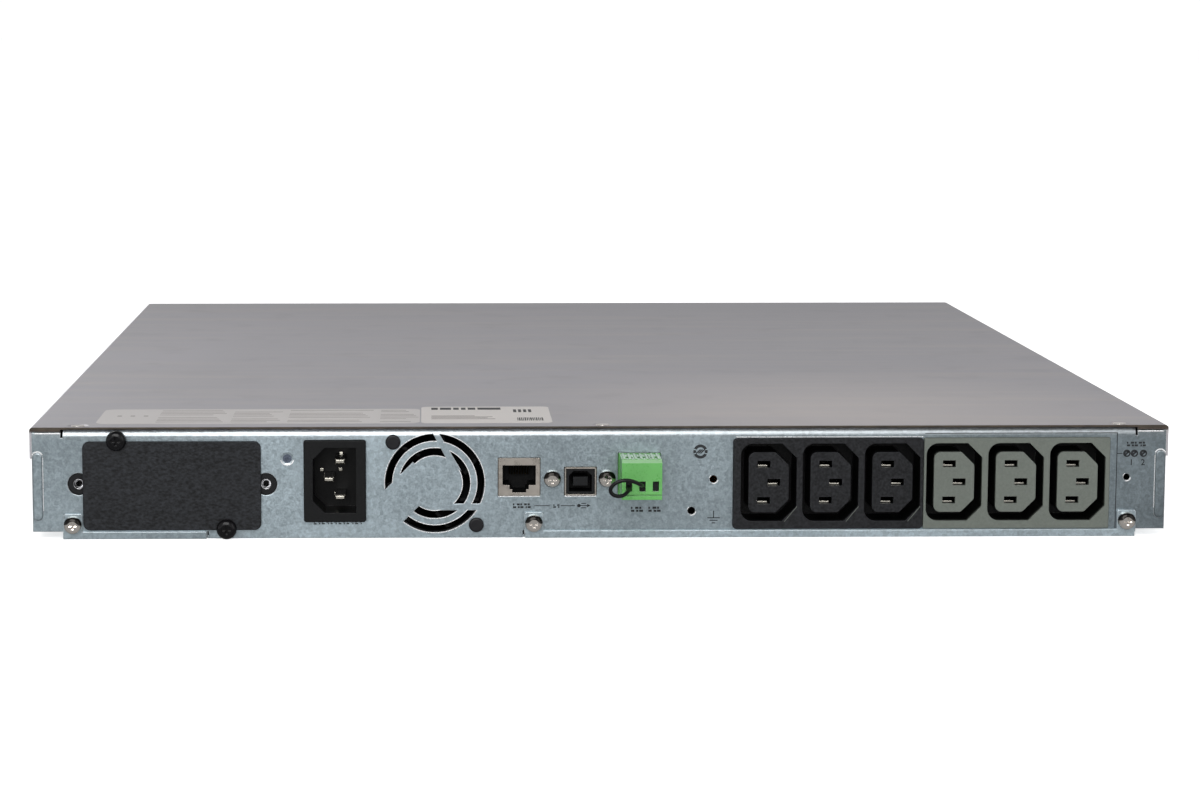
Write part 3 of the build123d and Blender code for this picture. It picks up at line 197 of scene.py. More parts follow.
def add_softboxes():
    """The lamps of the studio."""
    for name, place, target, width, height, watts in SOFTBOXES:
        data = bpy.data.lights.new(name, "AREA")
        data.shape = "RECTANGLE"
        data.size = width
        data.size_y = height
        data.energy = watts
        aimed(linked(name, data), place, target)


def glowing_paper(name, glow, scale, detail, levels, **sockets):
    """A sheet without shine that is faintly cloudy and has a light of its own."""
    sheet = Finish(name, Specular_IOR_Level=0.0, Emission_Color=grey(1.0), **sockets)
    sheet.shader.inputs["Emission Strength"].default_value = glow
    low, high = levels
    sheet.colour(sheet.blend(sheet.noise(scale, detail=detail), grey(low), grey(high)))
    return sheet.material


def add_floor():
    """A wide pale floor that the metal doesn't reflect."""
    data = bpy.data.meshes.new("floor")
    far = FLOOR_REACH
    corners = [(-far, -far, 0), (far, -far, 0), (far, far, 0), (-far, far, 0)]
    data.from_pydata(corners, [], [(0, 1, 2, 3)])
    paper = glowing_paper("floor_paper", FLOOR_GLOW, 0.7, 2.0, (0.90, 0.93), Roughness=1.0)
    data.materials.append(paper)
    ground = linked("floor", data)
    ground.visible_glossy = False


def add_backdrop():
    """A white screen far round the floor that only the camera sees."""
    screen = bmesh.new()
    turns = [math.tau * i / BACKDROP_SIDES for i in range(BACKDROP_SIDES)]
    rings = []
    for z in BACKDROP_Z:
        ring = [(BACKDROP_R * math.cos(turn), BACKDROP_R * math.sin(turn), z) for turn in turns]
        rings.append([screen.verts.new(point) for point in ring])
    for i in range(BACKDROP_SIDES):
        j = (i + 1) % BACKDROP_SIDES
        screen.faces.new((rings[0][j], rings[0][i], rings[1][i], rings[1][j]))
    data = bpy.data.meshes.new("backdrop")
    screen.to_mesh(data)
    screen.free()
    paper = glowing_paper("backdrop_paper", BACKDROP_GLOW, 0.2, 1.0, (0.0, 0.02))
    data.materials.append(paper)
    made = linked("backdrop", data)
    made.visible_diffuse = False
    made.visible_glossy = False
    made.visible_transmission = False
    made.visible_shadow = False


def add_studio():
    """Plain soft light and a pale floor."""
    bpy.context.scene.view_settings.view_transform = "Standard"
    add_sky()
    add_softboxes()
    add_floor()
    add_backdrop()


# Materials


def tone(red, green, blue):
    """A colour given in 0 to 255 display values, in linear light."""
    parts = [c / 255.0 for c in (red, green, blue)]
    line = [c / 12.92 if c <= 0.04045 else ((c + 0.055) / 1.055) ** 2.4 for c in parts]
    return (*line, 1.0)


def grey(level):
    """A neutral colour in linear light."""
    return (level, level, level, 1.0)


def lit(colour, factor):
    """The colour made lighter or darker."""
    return (*[min(1.0, c * factor) for c in colour[:3]], 1.0)


class Finish:
    """A node material whose patterns follow the piece's own coordinates."""

    def __init__(self, name, metallic=0.0, **sockets):
        self.material = bpy.data.materials.new(name)
        self.material.use_nodes = True
        self.tree = self.material.node_tree
        self.shader = self.tree.nodes["Principled BSDF"]
        self.shader.inputs["Metallic"].default_value = metallic
        for socket, value in sockets.items():
            self.shader.inputs[socket.replace("_", " ")].default_value = value
        self.where = self.node("ShaderNodeTexCoord").outputs["Object"]
        self.normal = None

    def node(self, kind, inputs=None, **values):
        """A node with its values set and its inputs set or linked."""
        made = self.tree.nodes.new(kind)
        for key, value in values.items():
            setattr(made, key, value)
        for key, value in (inputs or {}).items():
            if isinstance(value, bpy.types.NodeSocket):
                self.tree.links.new(value, made.inputs[key])
            else:
                made.inputs[key].default_value = value
        return made

    def along(self, axis):
        """How far along an axis a point of the piece lies."""
        return self.node("ShaderNodeSeparateXYZ", {0: self.where}).outputs[axis]

    def facing_up(self):
        """How far the surface faces upwards, from -1 to 1."""
        facing = self.node("ShaderNodeNewGeometry").outputs["Normal"]
        return self.node("ShaderNodeSeparateXYZ", {0: facing}).outputs["Z"]

    def noise(self, scale, detail=4.0, stretch=None, rough=0.5):
        """A soft random value from 0 to 1."""
        where = self.where
        if stretch:
            inputs = {"Vector": where, "Scale": stretch}
            where = self.node("ShaderNodeMapping", inputs).outputs["Vector"]
        inputs = {"Vector": where, "Scale": scale, "Detail": detail, "Roughness": rough}
        return self.node("ShaderNodeTexNoise", inputs).outputs["Fac"]

    def cells(self, scale, output="Color", **values):
        """Random cells, as crystals or grains are."""
        inputs = {"Vector": self.where, "Scale": scale}
        return self.node("ShaderNodeTexVoronoi", inputs, **values).outputs[output]

    def bands(self, axis, pitch):
        """Even bands along an axis, from 0 to 1, a pitch apart."""
        # The texture takes the sine of 20 times the place.
        inputs = {"Vector": self.where, "Scale": math.tau / (20.0 * pitch)}
        values = {"wave_type": "BANDS", "bands_direction": axis}
        return self.node("ShaderNodeTexWave", inputs, **values).outputs["Fac"]

    def ramp(self, value, stops):
        """A grey level that follows a value through stops."""
        made = self.node("ShaderNodeValToRGB", {"Fac": value})
        set_stops(made, [(position, grey(level)) for position, level in stops])
        return made.outputs["Color"]

    def map(self, value, low, high, start=0.0, end=1.0):
        """The value from start to end turned into low to high."""
        inputs = {"Value": value, "From Min": start, "From Max": end, "To Min": low, "To Max": high}
        return self.node("ShaderNodeMapRange", inputs).outputs["Result"]

    def blend(self, factor, first, second, kind="MIX"):
        """Two colours mixed by a factor."""
        inputs = {0: factor, 6: first, 7: second}
        made = self.node("ShaderNodeMix", inputs, data_type="RGBA", blend_type=kind)
        return made.outputs[2]

    def multiply(self, first, second):
        """Two colours multiplied."""
        return self.blend(1.0, first, second, "MULTIPLY")

    def times(self, first, second, operation="MULTIPLY"):
        """Two values joined by arithmetic."""
        made = self.node("ShaderNodeMath", {0: first, 1: second}, operation=operation)
        return made.outputs["Value"]

    def edge(self, radius, start=0.995, end=0.8):
        """Rounds the shading of sharp edges, and gives 1 on them and 0 elsewhere."""
        round_off = self.node("ShaderNodeBevel", {"Radius": radius}, samples=6)
        self.normal = round_off.outputs["Normal"]
        flat = self.node("ShaderNodeNewGeometry").outputs["Normal"]
        inputs = {0: self.normal, 1: flat}
        match = self.node("ShaderNodeVectorMath", inputs, operation="DOT_PRODUCT")
        return self.map(match.outputs["Value"], 0.0, 1.0, start, end)

    def bump(self, height, strength, depth):
        """Fine relief on top of what is there."""
        inputs = {"Height": height, "Strength": strength, "Distance": depth}
        if self.normal is not None:
            inputs["Normal"] = self.normal
        self.normal = self.node("ShaderNodeBump", inputs).outputs["Normal"]
        self.tree.links.new(self.normal, self.shader.inputs["Normal"])

    def colour(self, socket):
        """Sets the base colour."""
        self.tree.links.new(socket, self.shader.inputs["Base Color"])

    def rough(self, socket):
        """Sets the roughness."""
        self.tree.links.new(socket, self.shader.inputs["Roughness"])


# What a look may change. Three more have no standard value: "deep" is painted shade in
# recesses, where the colour starts to darken below the rear, over what depth and how much of it
# is left, "top" is the painted sheen colour of what faces upwards, and "ring" is a painted
# reflection band, brightness by how far it faces upwards.
LOOK = {
    "spread": 0.08,  # how much the clouds vary
    "scale": 30.0,  # how fine they are
    "grain": 1500.0,  # how fine the grain is
    "grain_stretch": None,
    "relief": 0.2,  # how deep it is in relief
    "fleck": 0.06,  # and in colour
    "edge": 0.00025,  # how wide the brightened edges are, partly scuffed and partly painted highlight
    "wear_and_shine": 1.25,  # and how bright
    "specular": 0.5,
    "coat": 0.0,
    "coat_rough": 0.03,
}
GRAIN_DEPTH = 0.00004


def worked(name, base, rough, metallic, changes):
    """A general finish: cloudy colour, grain in colour, roughness and relief, and brightened edges,
    partly scuffed and partly painted highlight; it may add painted shade in recesses, a painted
    sheen on faces that look up and a painted reflection band.
    """
    look = {**LOOK, **changes}
    spread, scale = look["spread"], look["scale"]
    coat = {"Coat_Weight": look["coat"], "Coat_Roughness": look["coat_rough"]}
    made = Finish(name, metallic, Specular_IOR_Level=look["specular"], **coat)
    bright_edge = made.edge(look["edge"])
    cloud = made.noise(scale)
    fine = made.noise(look["grain"], detail=2.0, stretch=look["grain_stretch"])
    fine = made.map(fine, 0.0, 1.0, 0.3, 0.7)
    body = made.blend(cloud, lit(base, 1.0 - spread), lit(base, 1.0 + spread))
    body = made.multiply(body, made.blend(fine, grey(1.0 - look["fleck"]), grey(1.0)))
    # Painted shade: the colour darkens with depth below the rear, as in deep recesses.
    if "deep" in look:
        start, reach, left = look["deep"]
        shade = made.map(made.along("Y"), left, 1.0, REAR - start - reach, REAR - start)
        body = made.multiply(body, made.blend(shade, grey(0.0), grey(1.0)))
    # Painted sheen: faces that look up are blended towards a paler colour.
    if "top" in look:
        upper = made.map(made.facing_up(), 0.0, 1.0, 0.6, 0.9)
        body = made.blend(upper, body, tone(*look["top"]))
    # Painted reflection: a dark band where the surface faces partly upwards.
    if "ring" in look:
        body = made.multiply(body, made.ramp(made.facing_up(), look["ring"]))
    # Edges brightened in patches, partly scuffed and partly a painted highlight.
    patchy = made.map(made.noise(scale * 9.0), 0.35, 1.0, 0.3, 0.6)
    made.colour(made.blend(made.times(bright_edge, patchy), body, lit(base, look["wear_and_shine"])))
    low, high = rough * 0.85, min(1.0, rough * 1.15)
    made.rough(made.map(made.times(cloud, fine, "ADD"), low, high, 0.6, 1.4))
    made.bump(fine, look["relief"], GRAIN_DEPTH)
    return made


# slot: colour as displayed, roughness, metallic, look
FINISHES = {
    "tray_steel": ((176, 180, 183), 0.36, 1.0, {"spread": 0.1, "scale": 60.0, "relief": 0.08}),
    # Its ring stops paint a dark reflection band on the domes.
    "bright_screws": ((236, 230, 222), 0.06, 1.0, {
        "spread": 0.03, "relief": 0.01, "fleck": 0.02, "edge": 0.00012, "wear_and_shine": 1.0,
        "ring": ((0.0, 1.0), (0.03, 1.0), (0.09, 0.03), (0.72, 0.03), (0.86, 1.0)),
    }),
    "black_screws": ((6, 6, 8), 0.16, 0.0, {
        "relief": 0.02, "wear_and_shine": 2.6, "specular": 0.2, "coat": 0.15, "coat_rough": 0.05,
    }),
    "black_plate": ((35, 37, 41), 0.5, 0.0, {
        "grain": 1300.0, "grain_stretch": (0.6, 1.0, 1.0), "relief": 0.7, "fleck": 0.85,
        "spread": 0.16, "wear_and_shine": 1.6, "specular": 0.25,
    }),
    # Entries that darken with depth, here and below, paint shade in recesses.
    "black_moulding": ((17, 18, 20), 0.5, 0.0, {
        "grain": 1800.0, "relief": 0.3, "wear_and_shine": 2.0, "deep": (0.0004, 0.003, 0.3),
        "specular": 0.22,
    }),
    "fan_blades": ((9, 9, 10), 0.45, 0.0, {
        "grain": 900.0, "relief": 0.15, "wear_and_shine": 1.8, "specular": 0.12,
    }),
    "push_rivets": ((19, 19, 22), 0.36, 0.0, {"relief": 0.12, "wear_and_shine": 2.4, "specular": 0.3}),
    "inserts": ((190, 190, 192), 0.16, 1.0, {"relief": 0.05, "scale": 300.0}),
    "inlet_plastic": ((12, 13, 14), 0.36, 0.0, {
        "grain": 1600.0, "relief": 0.22, "wear_and_shine": 2.2, "deep": (0.0006, 0.003, 0.3),
        "specular": 0.22,
    }),
    "outlet_plastic_black": ((32, 33, 36), 0.42, 0.0, {
        "grain": 1100.0, "relief": 0.6, "fleck": 0.75, "wear_and_shine": 1.9,
        "deep": (-0.0004, 0.002, 0.1), "specular": 0.25,
    }),
    "outlet_plastic_grey": ((94, 99, 93), 0.45, 0.0, {
        "grain": 1300.0, "relief": 0.35, "fleck": 0.14,
        "deep": (-0.0004, 0.0014, 0.03), "specular": 0.25,
    }),
    "plated_contacts": ((224, 220, 208), 0.22, 1.0, {
        "scale": 400.0, "relief": 0.03, "deep": (0.0009, 0.002, 0.03),
    }),
    "plated_straps": ((214, 210, 198), 0.24, 1.0, {"scale": 400.0, "relief": 0.05}),
    "gold_contacts": ((222, 180, 92), 0.2, 1.0, {"scale": 400.0, "relief": 0.04}),
    "port_shells": ((190, 183, 174), 0.3, 1.0, {
        "scale": 90.0, "grain": 500.0, "relief": 0.004, "fleck": 0.02,
        "edge": 0.0001, "deep": (0.0001, 0.001, 0.35),
    }),
    # Its top colour is a painted sheen on faces that look up.
    "green_terminal": ((86, 152, 78), 0.32, 0.0, {
        "grain": 1200.0, "relief": 0.12, "scale": 140.0, "spread": 0.12, "fleck": 0.05,
        "wear_and_shine": 1.6, "top": (196, 220, 196),
    }),
    "wire_insulation": ((7, 7, 9), 0.36, 0.0, {
        "grain": 700.0, "relief": 0.1, "wear_and_shine": 1.2, "specular": 0.3,
    }),
    "relay_cases": ((26, 28, 32), 0.3, 0.0, {"relief": 0.1, "wear_and_shine": 1.8}),
    "capacitor_sleeve": ((24, 31, 66), 0.26, 0.0, {"relief": 0.06, "scale": 90.0}),
    "ferrite": ((44, 44, 47), 0.7, 0.0, {"grain": 1100.0, "relief": 0.5, "fleck": 0.25}),
    "filter_can": ((186, 188, 190), 0.3, 1.0, {"scale": 80.0, "relief": 0.06}),
    "connector_grey": ((92, 94, 98), 0.42, 0.0, {}),
    "battery_case": ((52, 54, 58), 0.5, 0.0, {"grain": 900.0, "relief": 0.35, "fleck": 0.15}),
    "handle_steel": ((34, 34, 36), 0.38, 0.0, {"relief": 0.25, "wear_and_shine": 1.8}),
    "bezel_plastic": ((38, 40, 43), 0.48, 0.0, {"grain": 1300.0, "relief": 0.4, "fleck": 0.15}),
    "button_rubber": ((72, 75, 80), 0.55, 0.0, {}),
    "display_frame": ((128, 130, 134), 0.34, 1.0, {"scale": 90.0}),
}


# Painted light: how bright the zinc is from the case's left end, as seen from behind, to its right
# end.
ZINC_LIGHT_GRADIENT = (
    (0.0, 0.71), (0.1, 0.77), (0.2, 0.94), (0.3, 0.9), (0.4, 0.86),
    (0.5, 0.8), (0.6, 0.74), (0.85, 0.63), (1.0, 0.5),
)
# Painted light across the base pan, for a second lit copy of the zinc.
PAN_LIGHT_GRADIENT = ((0.0, 0.72), (0.3, 0.84), (0.7, 1.1), (1.0, 1.05))
# Painted highlight: how much paler the zinc is where it curves over to face upwards.
BEND_PAINTED_HIGHLIGHT = ((0.0, 0.0), (0.05, 0.0), (0.14, 0.22), (0.95, 0.22), (1.0, 0.0))
# Painted highlight: the heights between which it pales towards that bend, and how much.
BEND_HIGHLIGHT_FADE = (0.0382, 0.0412, 0.22)


def galvanised(name, drift):
    """Zinc-plated sheet: a faint spangle and soft clouds, with painted light: a gradient across the
    case, a painted highlight where it curves to face upwards and near its top, and edges painted
    near white as highlights.
    """
    base = tone(184, 199, 206)
    made = Finish(name, 0.9)
    bright_edge = made.edge(0.0005, start=0.985, end=0.75)
    cloud = made.noise(16.0, detail=5.0, stretch=(1.0, 1.0, 1.6))
    body = made.blend(made.map(cloud, 0.0, 1.0, 0.25, 0.75), lit(base, 0.82), lit(base, 1.18))
    # Painted highlight where the zinc curves over to face upwards, and towards the top bend.
    body = made.blend(made.ramp(made.facing_up(), BEND_PAINTED_HIGHLIGHT), body, grey(1.0))
    low, high, most = BEND_HIGHLIGHT_FADE
    body = made.blend(made.map(made.along("Z"), 0.0, most, low, high), body, grey(1.0))
    body = made.multiply(body, made.blend(made.cells(700.0), grey(0.78), grey(1.04)))
    grain = made.map(made.noise(1400.0, detail=2.0), 0.0, 1.0, 0.3, 0.7)
    body = made.multiply(body, made.blend(grain, grey(0.86), grey(1.06)))
    # Painted light: brighter or darker across the case.
    place = made.map(made.along("X"), 1.0, 0.0, -HALF, HALF)
    body = made.multiply(body, made.ramp(place, drift))
    # Painted highlight: edges turn nearly white, as cut edges catching the light.
    made.colour(made.blend(made.times(bright_edge, 0.85), body, tone(250, 253, 254)))
    made.rough(made.map(made.times(cloud, grain, "ADD"), 0.30, 0.44, 0.7, 1.3))
    made.bump(grain, 0.16, 0.00003)
    return made


# Painted light on the cover: how bright it is from its front to its rear edge, the place of a
# painted pool of light where it is palest, and how far from there the pale area starts to fade and
# ends.
COVER_LIGHT_GRADIENT = ((0.0, 0.82), (0.5, 0.95), (1.0, 1.0))
COVER_LIGHT_POOL = at(322.0, 43.2, -46.0)
COVER_LIGHT_POOL_REACH = (0.02, 0.14)
# The cover's dark rim: how far from its rear edge and below its top it starts and ends.
DARK_RIM_REACH = (0.0007, 0.0002)
DARK_RIM_DROP = (0.0022, 0.0014)


def coated_cover():
    """The cover's satin sheet, faintly streaked along the case, with painted light from front to
    rear and a painted pool of light, brightened edges, and a dark rear rim with brown patches.
    """
    base = tone(184, 182, 187)
    made = Finish("cover_steel", 0.55)
    bright_edge = made.edge(0.0003)
    cloud = made.noise(9.0, detail=6.0, rough=0.6)
    streak = made.noise(30.0, detail=4.0, stretch=(0.25, 3.0, 1.0))
    blotch = made.noise(45.0, detail=2.0)
    body = made.blend(cloud, lit(base, 0.84), lit(base, 1.12))
    body = made.blend(made.map(streak, 0.0, 0.5, 0.45, 0.75), body, tone(198, 192, 190))
    body = made.blend(made.map(blotch, 0.0, 0.35, 0.55, 0.75), body, lit(base, 0.78))
    # Painted light: darker towards the front, with a painted pool of light near the rear.
    place = made.along("Y")
    drift = made.ramp(made.map(place, 0.0, 1.0, FRONT, REAR), COVER_LIGHT_GRADIENT)
    body = made.multiply(body, drift)
    spot = made.node("ShaderNodeVectorMath", {0: made.where, 1: COVER_LIGHT_POOL}, operation="DISTANCE")
    glow = made.map(spot.outputs["Value"], 1.0, 0.0, *COVER_LIGHT_POOL_REACH)
    body = made.blend(made.times(glow, 0.4), body, tone(236, 226, 220))
    # A dark rim along the rear edge, dark grey with brown patches.
    rear = made.map(place, 0.0, 1.0, *[REAR - reach for reach in DARK_RIM_REACH])
    upper = made.map(made.along("Z"), 0.15, 1.0, *[TOP - drop for drop in DARK_RIM_DROP])
    dark_rim = made.blend(made.noise(160.0, stretch=(1.0, 0.1, 0.1)), tone(30, 29, 32), tone(92, 82, 70))
    # Edges brightened, partly scuffed and partly a painted highlight.
    body = made.blend(made.times(bright_edge, 0.5), body, tone(214, 212, 210))
    made.colour(made.blend(made.times(rear, upper), body, dark_rim))
    made.rough(made.map(cloud, 0.38, 0.50, 0.3, 0.7))
    made.bump(made.noise(1500.0, detail=2.0, stretch=(0.5, 1.0, 1.0)), 0.14, 0.00003)
    return made


def circuit_board():
    """Green solder mask over faint copper tracks and pads."""
    made = Finish("circuit_board", 0.0, Coat_Weight=0.35, Coat_Roughness=0.2)
    made.edge(0.0002)
    lanes = made.cells(110.0, output="Distance", distance="CHEBYCHEV")
    track = made.map(lanes, 1.0, 0.0, 0.30, 0.36)
    dots = made.map(made.cells(260.0, output="Distance"), 1.0, 0.0, 0.16, 0.20)
    body = made.blend(track, tone(17, 74, 47), tone(30, 104, 64))
    made.colour(made.blend(made.times(dots, 0.7), body, tone(196, 190, 168)))
    made.rough(made.map(made.noise(300.0), 0.32, 0.5))
    made.bump(track, 0.25, 0.00005)
    return made


# Finishes with fine even ridges, their troughs darker as painted shade: base, dark, axis, pitch,
# roughness, metallic.
STRIPED = {
    "aluminium_fins": ((196, 198, 200), (150, 152, 156), "X", 0.0009, 0.34, 1.0),
    "enamelled_copper": ((176, 96, 44), (92, 42, 18), "Z", 0.0011, 0.3, 0.6),
    "ribbon_insulation": ((176, 176, 172), (122, 122, 120), "X", 0.00127, 0.45, 0.0),
}


def striped(name, base, dark, axis, pitch, rough, metallic):
    """Fine even ridges along one axis, such as windings, fins or ribbon cores, with painted shade
    in the troughs between them.
    """
    made = Finish(name, metallic)
    made.edge(0.0002)
    ridge = made.bands(axis, pitch)
    cloud = made.noise(70.0)
    # Painted shade: the troughs between the ridges take the dark colour.
    body = made.blend(ridge, tone(*dark), tone(*base))
    made.colour(made.multiply(body, made.blend(cloud, grey(0.85), grey(1.0))))
    made.rough(made.map(cloud, rough * 0.85, rough * 1.15))
    made.bump(ridge, 0.6, pitch * 0.3)
    return made


# The leads' colours by where they lie across the case, and half the width they lie in.
LEAD_COLOURS = ((0.0, (52, 84, 160)), (0.2, (104, 66, 40)), (0.45, (58, 120, 62)))
LEAD_SPAN = 0.11


def coloured_leads():
    """Each lead takes its own colour from where it lies across the case."""
    made = Finish("lead_insulation", 0.0)
    made.edge(0.0002)
    lane = made.map(made.along("X"), 0.0, 1.0, -LEAD_SPAN, LEAD_SPAN)
    ramp = made.node("ShaderNodeValToRGB", {"Fac": lane})
    ramp.color_ramp.interpolation = "CONSTANT"
    set_stops(ramp, [(position, tone(*shade)) for position, shade in LEAD_COLOURS])
    fine = made.noise(600.0)
    made.colour(made.multiply(ramp.outputs["Color"], made.blend(fine, grey(0.8), grey(1.0))))
    made.rough(made.map(fine, 0.36, 0.48))
    made.bump(fine, 0.1, 0.00003)
    return made


def clear_pane(name, base, solid, rough):
    """A tinted clear moulding with a polished face."""
    made = Finish(name, 0.0, Alpha=solid, IOR=1.49)
    fine = made.noise(260.0, detail=2.0)
    made.colour(made.blend(fine, lit(base, 0.94), base))
    made.rough(made.map(fine, rough, rough + 0.03))
    made.bump(fine, 0.02, 0.00002)
    return made


def film(name, base, spread, rough=0.4):
    """A satin printed film with a faint crinkle."""
    made = Finish(name, 0.0)
    soft = made.noise(26.0, detail=3.0)
    fine = made.noise(900.0, detail=2.0)
    made.colour(made.blend(soft, lit(base, 1.0 - spread), lit(base, 1.0 + spread)))
    made.rough(made.map(fine, rough * 0.85, rough * 1.15))
    made.bump(soft, 0.12, 0.0002)
    return made


def paint_frame():
    """Gives every CAD node its detailed material, by its record slot."""
    made = {slot: worked(slot, tone(*c), r, m, look) for slot, (c, r, m, look) in FINISHES.items()}
    for slot, values in STRIPED.items():
        made[slot] = striped(slot, *values)
    made["galvanised_steel"] = galvanised("galvanised_steel", ZINC_LIGHT_GRADIENT)
    made["cover_steel"] = coated_cover()
    made["circuit_board"] = circuit_board()
    made["lead_insulation"] = coloured_leads()
    made["display_window"] = clear_pane("display_window", tone(40, 46, 54), 0.3, 0.04)
    made["light_pipes"] = clear_pane("light_pipes", tone(206, 226, 206), 0.6, 0.12)
    made["label_film"] = film("label_film", tone(190, 190, 192), 0.05)
    for part in frame["record"]["subparts"]:
        mesh = frame["nodes"][part["node"]].data
        mesh.materials.clear()
        mesh.materials.append(made[part["material_slot"]].material)
    # A second copy of the zinc, with its own painted light across it, for the base pan.
    pan = galvanised("galvanised_pan", PAN_LIGHT_GRADIENT)
    frame["nodes"]["base_pan"].data.materials[0] = pan.material
    frame["nodes"]["battery_links"].data.materials[0] = made["plated_straps"].material
    return {slot: finish.material for slot, finish in made.items()}


# Mesh pieces

PRINT_RISE = 0.04
ARC_STEP = 9


class Shape:
    """Collects prisms into one mesh."""

    def __init__(self):
        self.mesh = bmesh.new()

    def prism(self, outline, rise):
        """A flat outline of points, thickened along a vector."""
        low = [self.mesh.verts.new(p) for p in outline]
        high = [self.mesh.verts.new(Vector(p) + rise) for p in outline]
        self.mesh.faces.new(low[::-1])
        self.mesh.faces.new(high)
        count = len(low)
        for i in range(count):
            j = (i + 1) % count
            self.mesh.faces.new((low[i], low[j], high[j], high[i]))

    def panel(self, corners, out=0.0, thick=PRINT_RISE):
        """An outline in u and v, raised from the rear by thick."""
        self.prism([at(u, v, out) for u, v in corners], Vector((0, thick * MM, 0)))

    def bar(self, u0, u1, v0, v1, out=0.0, thick=PRINT_RISE):
        """A rectangle on the rear."""
        self.panel(((u0, v0), (u1, v0), (u1, v1), (u0, v1)), out, thick)

    def row(self, u0, u1, v, half, out=0.0, thick=PRINT_RISE):
        """A level line on the rear that reaches half above and below v."""
        self.bar(u0, u1, v - half, v + half, out, thick)

    def stroke(self, start, end, width, out=0.0, thick=PRINT_RISE):
        """A straight line on the rear."""
        a, b = Vector(start), Vector(end)
        side = (b - a).orthogonal().normalized() * width / 2
        self.panel([a - side, b - side, b + side, a + side], out, thick)

    def arc(self, centre, inner, outer, start, end, out=0.0, thick=PRINT_RISE, steps=0):
        """Part of a ring on the rear, in degrees."""
        steps = steps or max(3, int(abs(end - start) / ARC_STEP))
        for i in range(steps):
            a = math.radians(start + (end - start) * i / steps)
            b = math.radians(start + (end - start) * (i + 1) / steps)
            ends = [(inner, a), (outer, a), (outer, b)] + [(inner, b)] * bool(inner)
            corners = [(centre[0] + r * math.cos(t), centre[1] + r * math.sin(t)) for r, t in ends]
            self.panel(corners, out, thick)

    def flat(self, x0, x1, y0, y1, z0, z1, radius=0.0):
        """A block between corners in metres, its upright edges rounded by a radius."""
        steps = 6 if radius else 0
        outline = []
        corners = ((x1, y1, -1, -1), (x0, y1, 1, -1), (x0, y0, 1, 1), (x1, y0, -1, 1))
        for quarter, (x, y, in_x, in_y) in enumerate(corners):
            for i in range(steps + 1):
                angle = math.pi / 2 * (quarter + (i / steps if steps else 0))
                turn_x, turn_y = radius * math.cos(angle), radius * math.sin(angle)
                outline.append((x + in_x * radius + turn_x, y + in_y * radius + turn_y, z0))
        self.prism(outline, Vector((0, 0, z1 - z0)))

    def piece(self, name, body, material, slot, bevel=0.0):
        """Turns what was collected into a piece that rides on a body."""
        bmesh.ops.recalc_face_normals(self.mesh, faces=self.mesh.faces)
        data = bpy.data.meshes.new(name)
        self.mesh.to_mesh(data)
        self.mesh.free()
        data.materials.append(material)
        made = linked(name, data)
        if bevel:
            soft = made.modifiers.new("edges", "BEVEL")
            soft.width = bevel
            soft.segments = 2
            soft.limit_method = "ANGLE"
        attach(made, body)
        return made


# Prints and small mouldings

RING = (257.4, 33.3)
RING_RADII = (1.65, 2.75)
RING_ARCS = ((25, 155), (165, 195), (205, 335), (-15, 15))
EARTH = (262.7, 7.5)
EARTH_STEM = 2.8
# The earth symbol's bars: half their width, and how far below the first they lie.
EARTH_BARS = ((2.4, 0.0), (1.55, 1.0), (0.7, 2.0))
EARTH_HALF = 0.18
ICONS = (422.1, 425.0, 428.5)
ICON_V = 32.2
PORTS_V = 12.4
ARROW_DOT = ((210.7, PORTS_V), 0.7)
ARROW_HEAD = ((213.9, PORTS_V - 0.6), (215.2, PORTS_V), (213.9, PORTS_V + 0.6))
# Printed level lines: u, u, v, and how far they reach above and below it. Then an upright
# one: u, u, v, v.
PRINT_LINES = (
    (193.5, 199.4, PORTS_V, 0.14),
    (203.7, 209.2, PORTS_V, 0.14),
    (210.7, 214.4, PORTS_V, 0.15),
    (211.6, 213.4, PORTS_V + 0.85, 0.16),
    (211.6, 213.4, PORTS_V - 0.85, 0.16),
    (344.0, 418.4, 40.2, 0.15),
    (418.4, 420.4, ICON_V, 0.16),
)
PRINT_UPRIGHT = (418.1, 418.4, 3.1, 40.35)
# Rows of small blocks in place of legends: u, v, height, gap, widths.
LEGENDS = (
    (185.3, PORTS_V, 1.9, 0.24, (1.25, 1.1, 1.2, 1.1, 1.2)),
    (200.8, PORTS_V - 0.15, 1.3, 0.4, (1.1, 0.9)),
    (230.8, 10.9, 2.0, 0.28, (1.3, 1.3, 1.5)),
    (237.5, 10.9, 2.0, 0.28, (1.3, 1.5, 1.4)),
    (108.6, 5.95, 1.1, 0.62, (1.1, 0.8, 1.1, 1.0, 0.8, 1.0, 1.1, 0.8, 1.0, 1.0, 1.1, 0.9)),
    (422.0, 35.8, 1.8, 0.28, (1.25, 1.25, 1.25, 1.25, 1.25)),
)
LEGEND_CUTS = (0.45, 0.7, 0.55)
LEGEND_SLIT = 0.08
# The printed digits and their u, and the v and size of both.
DIGITS = (("1", 423.9), ("2", 428.4))
DIGIT_V = 28.6
DIGIT_SIZE = 3.3


def greeked(shape, u, v, height, gap, widths):
    """A row of small broken blocks where the real panel has a legend."""
    low, high = v - height / 2, v + height / 2
    slit = height * LEGEND_SLIT
    for i, width in enumerate(widths):
        cut = width * LEGEND_CUTS[i % len(LEGEND_CUTS)]
        if i % 2:
            shape.bar(u, u + width, v + slit, high)
            shape.bar(u + width - cut, u + width, low, v - slit)
        else:
            shape.bar(u, u + cut, v + slit, high)
            shape.bar(u, u + width, low, v - slit)
        u += width + gap


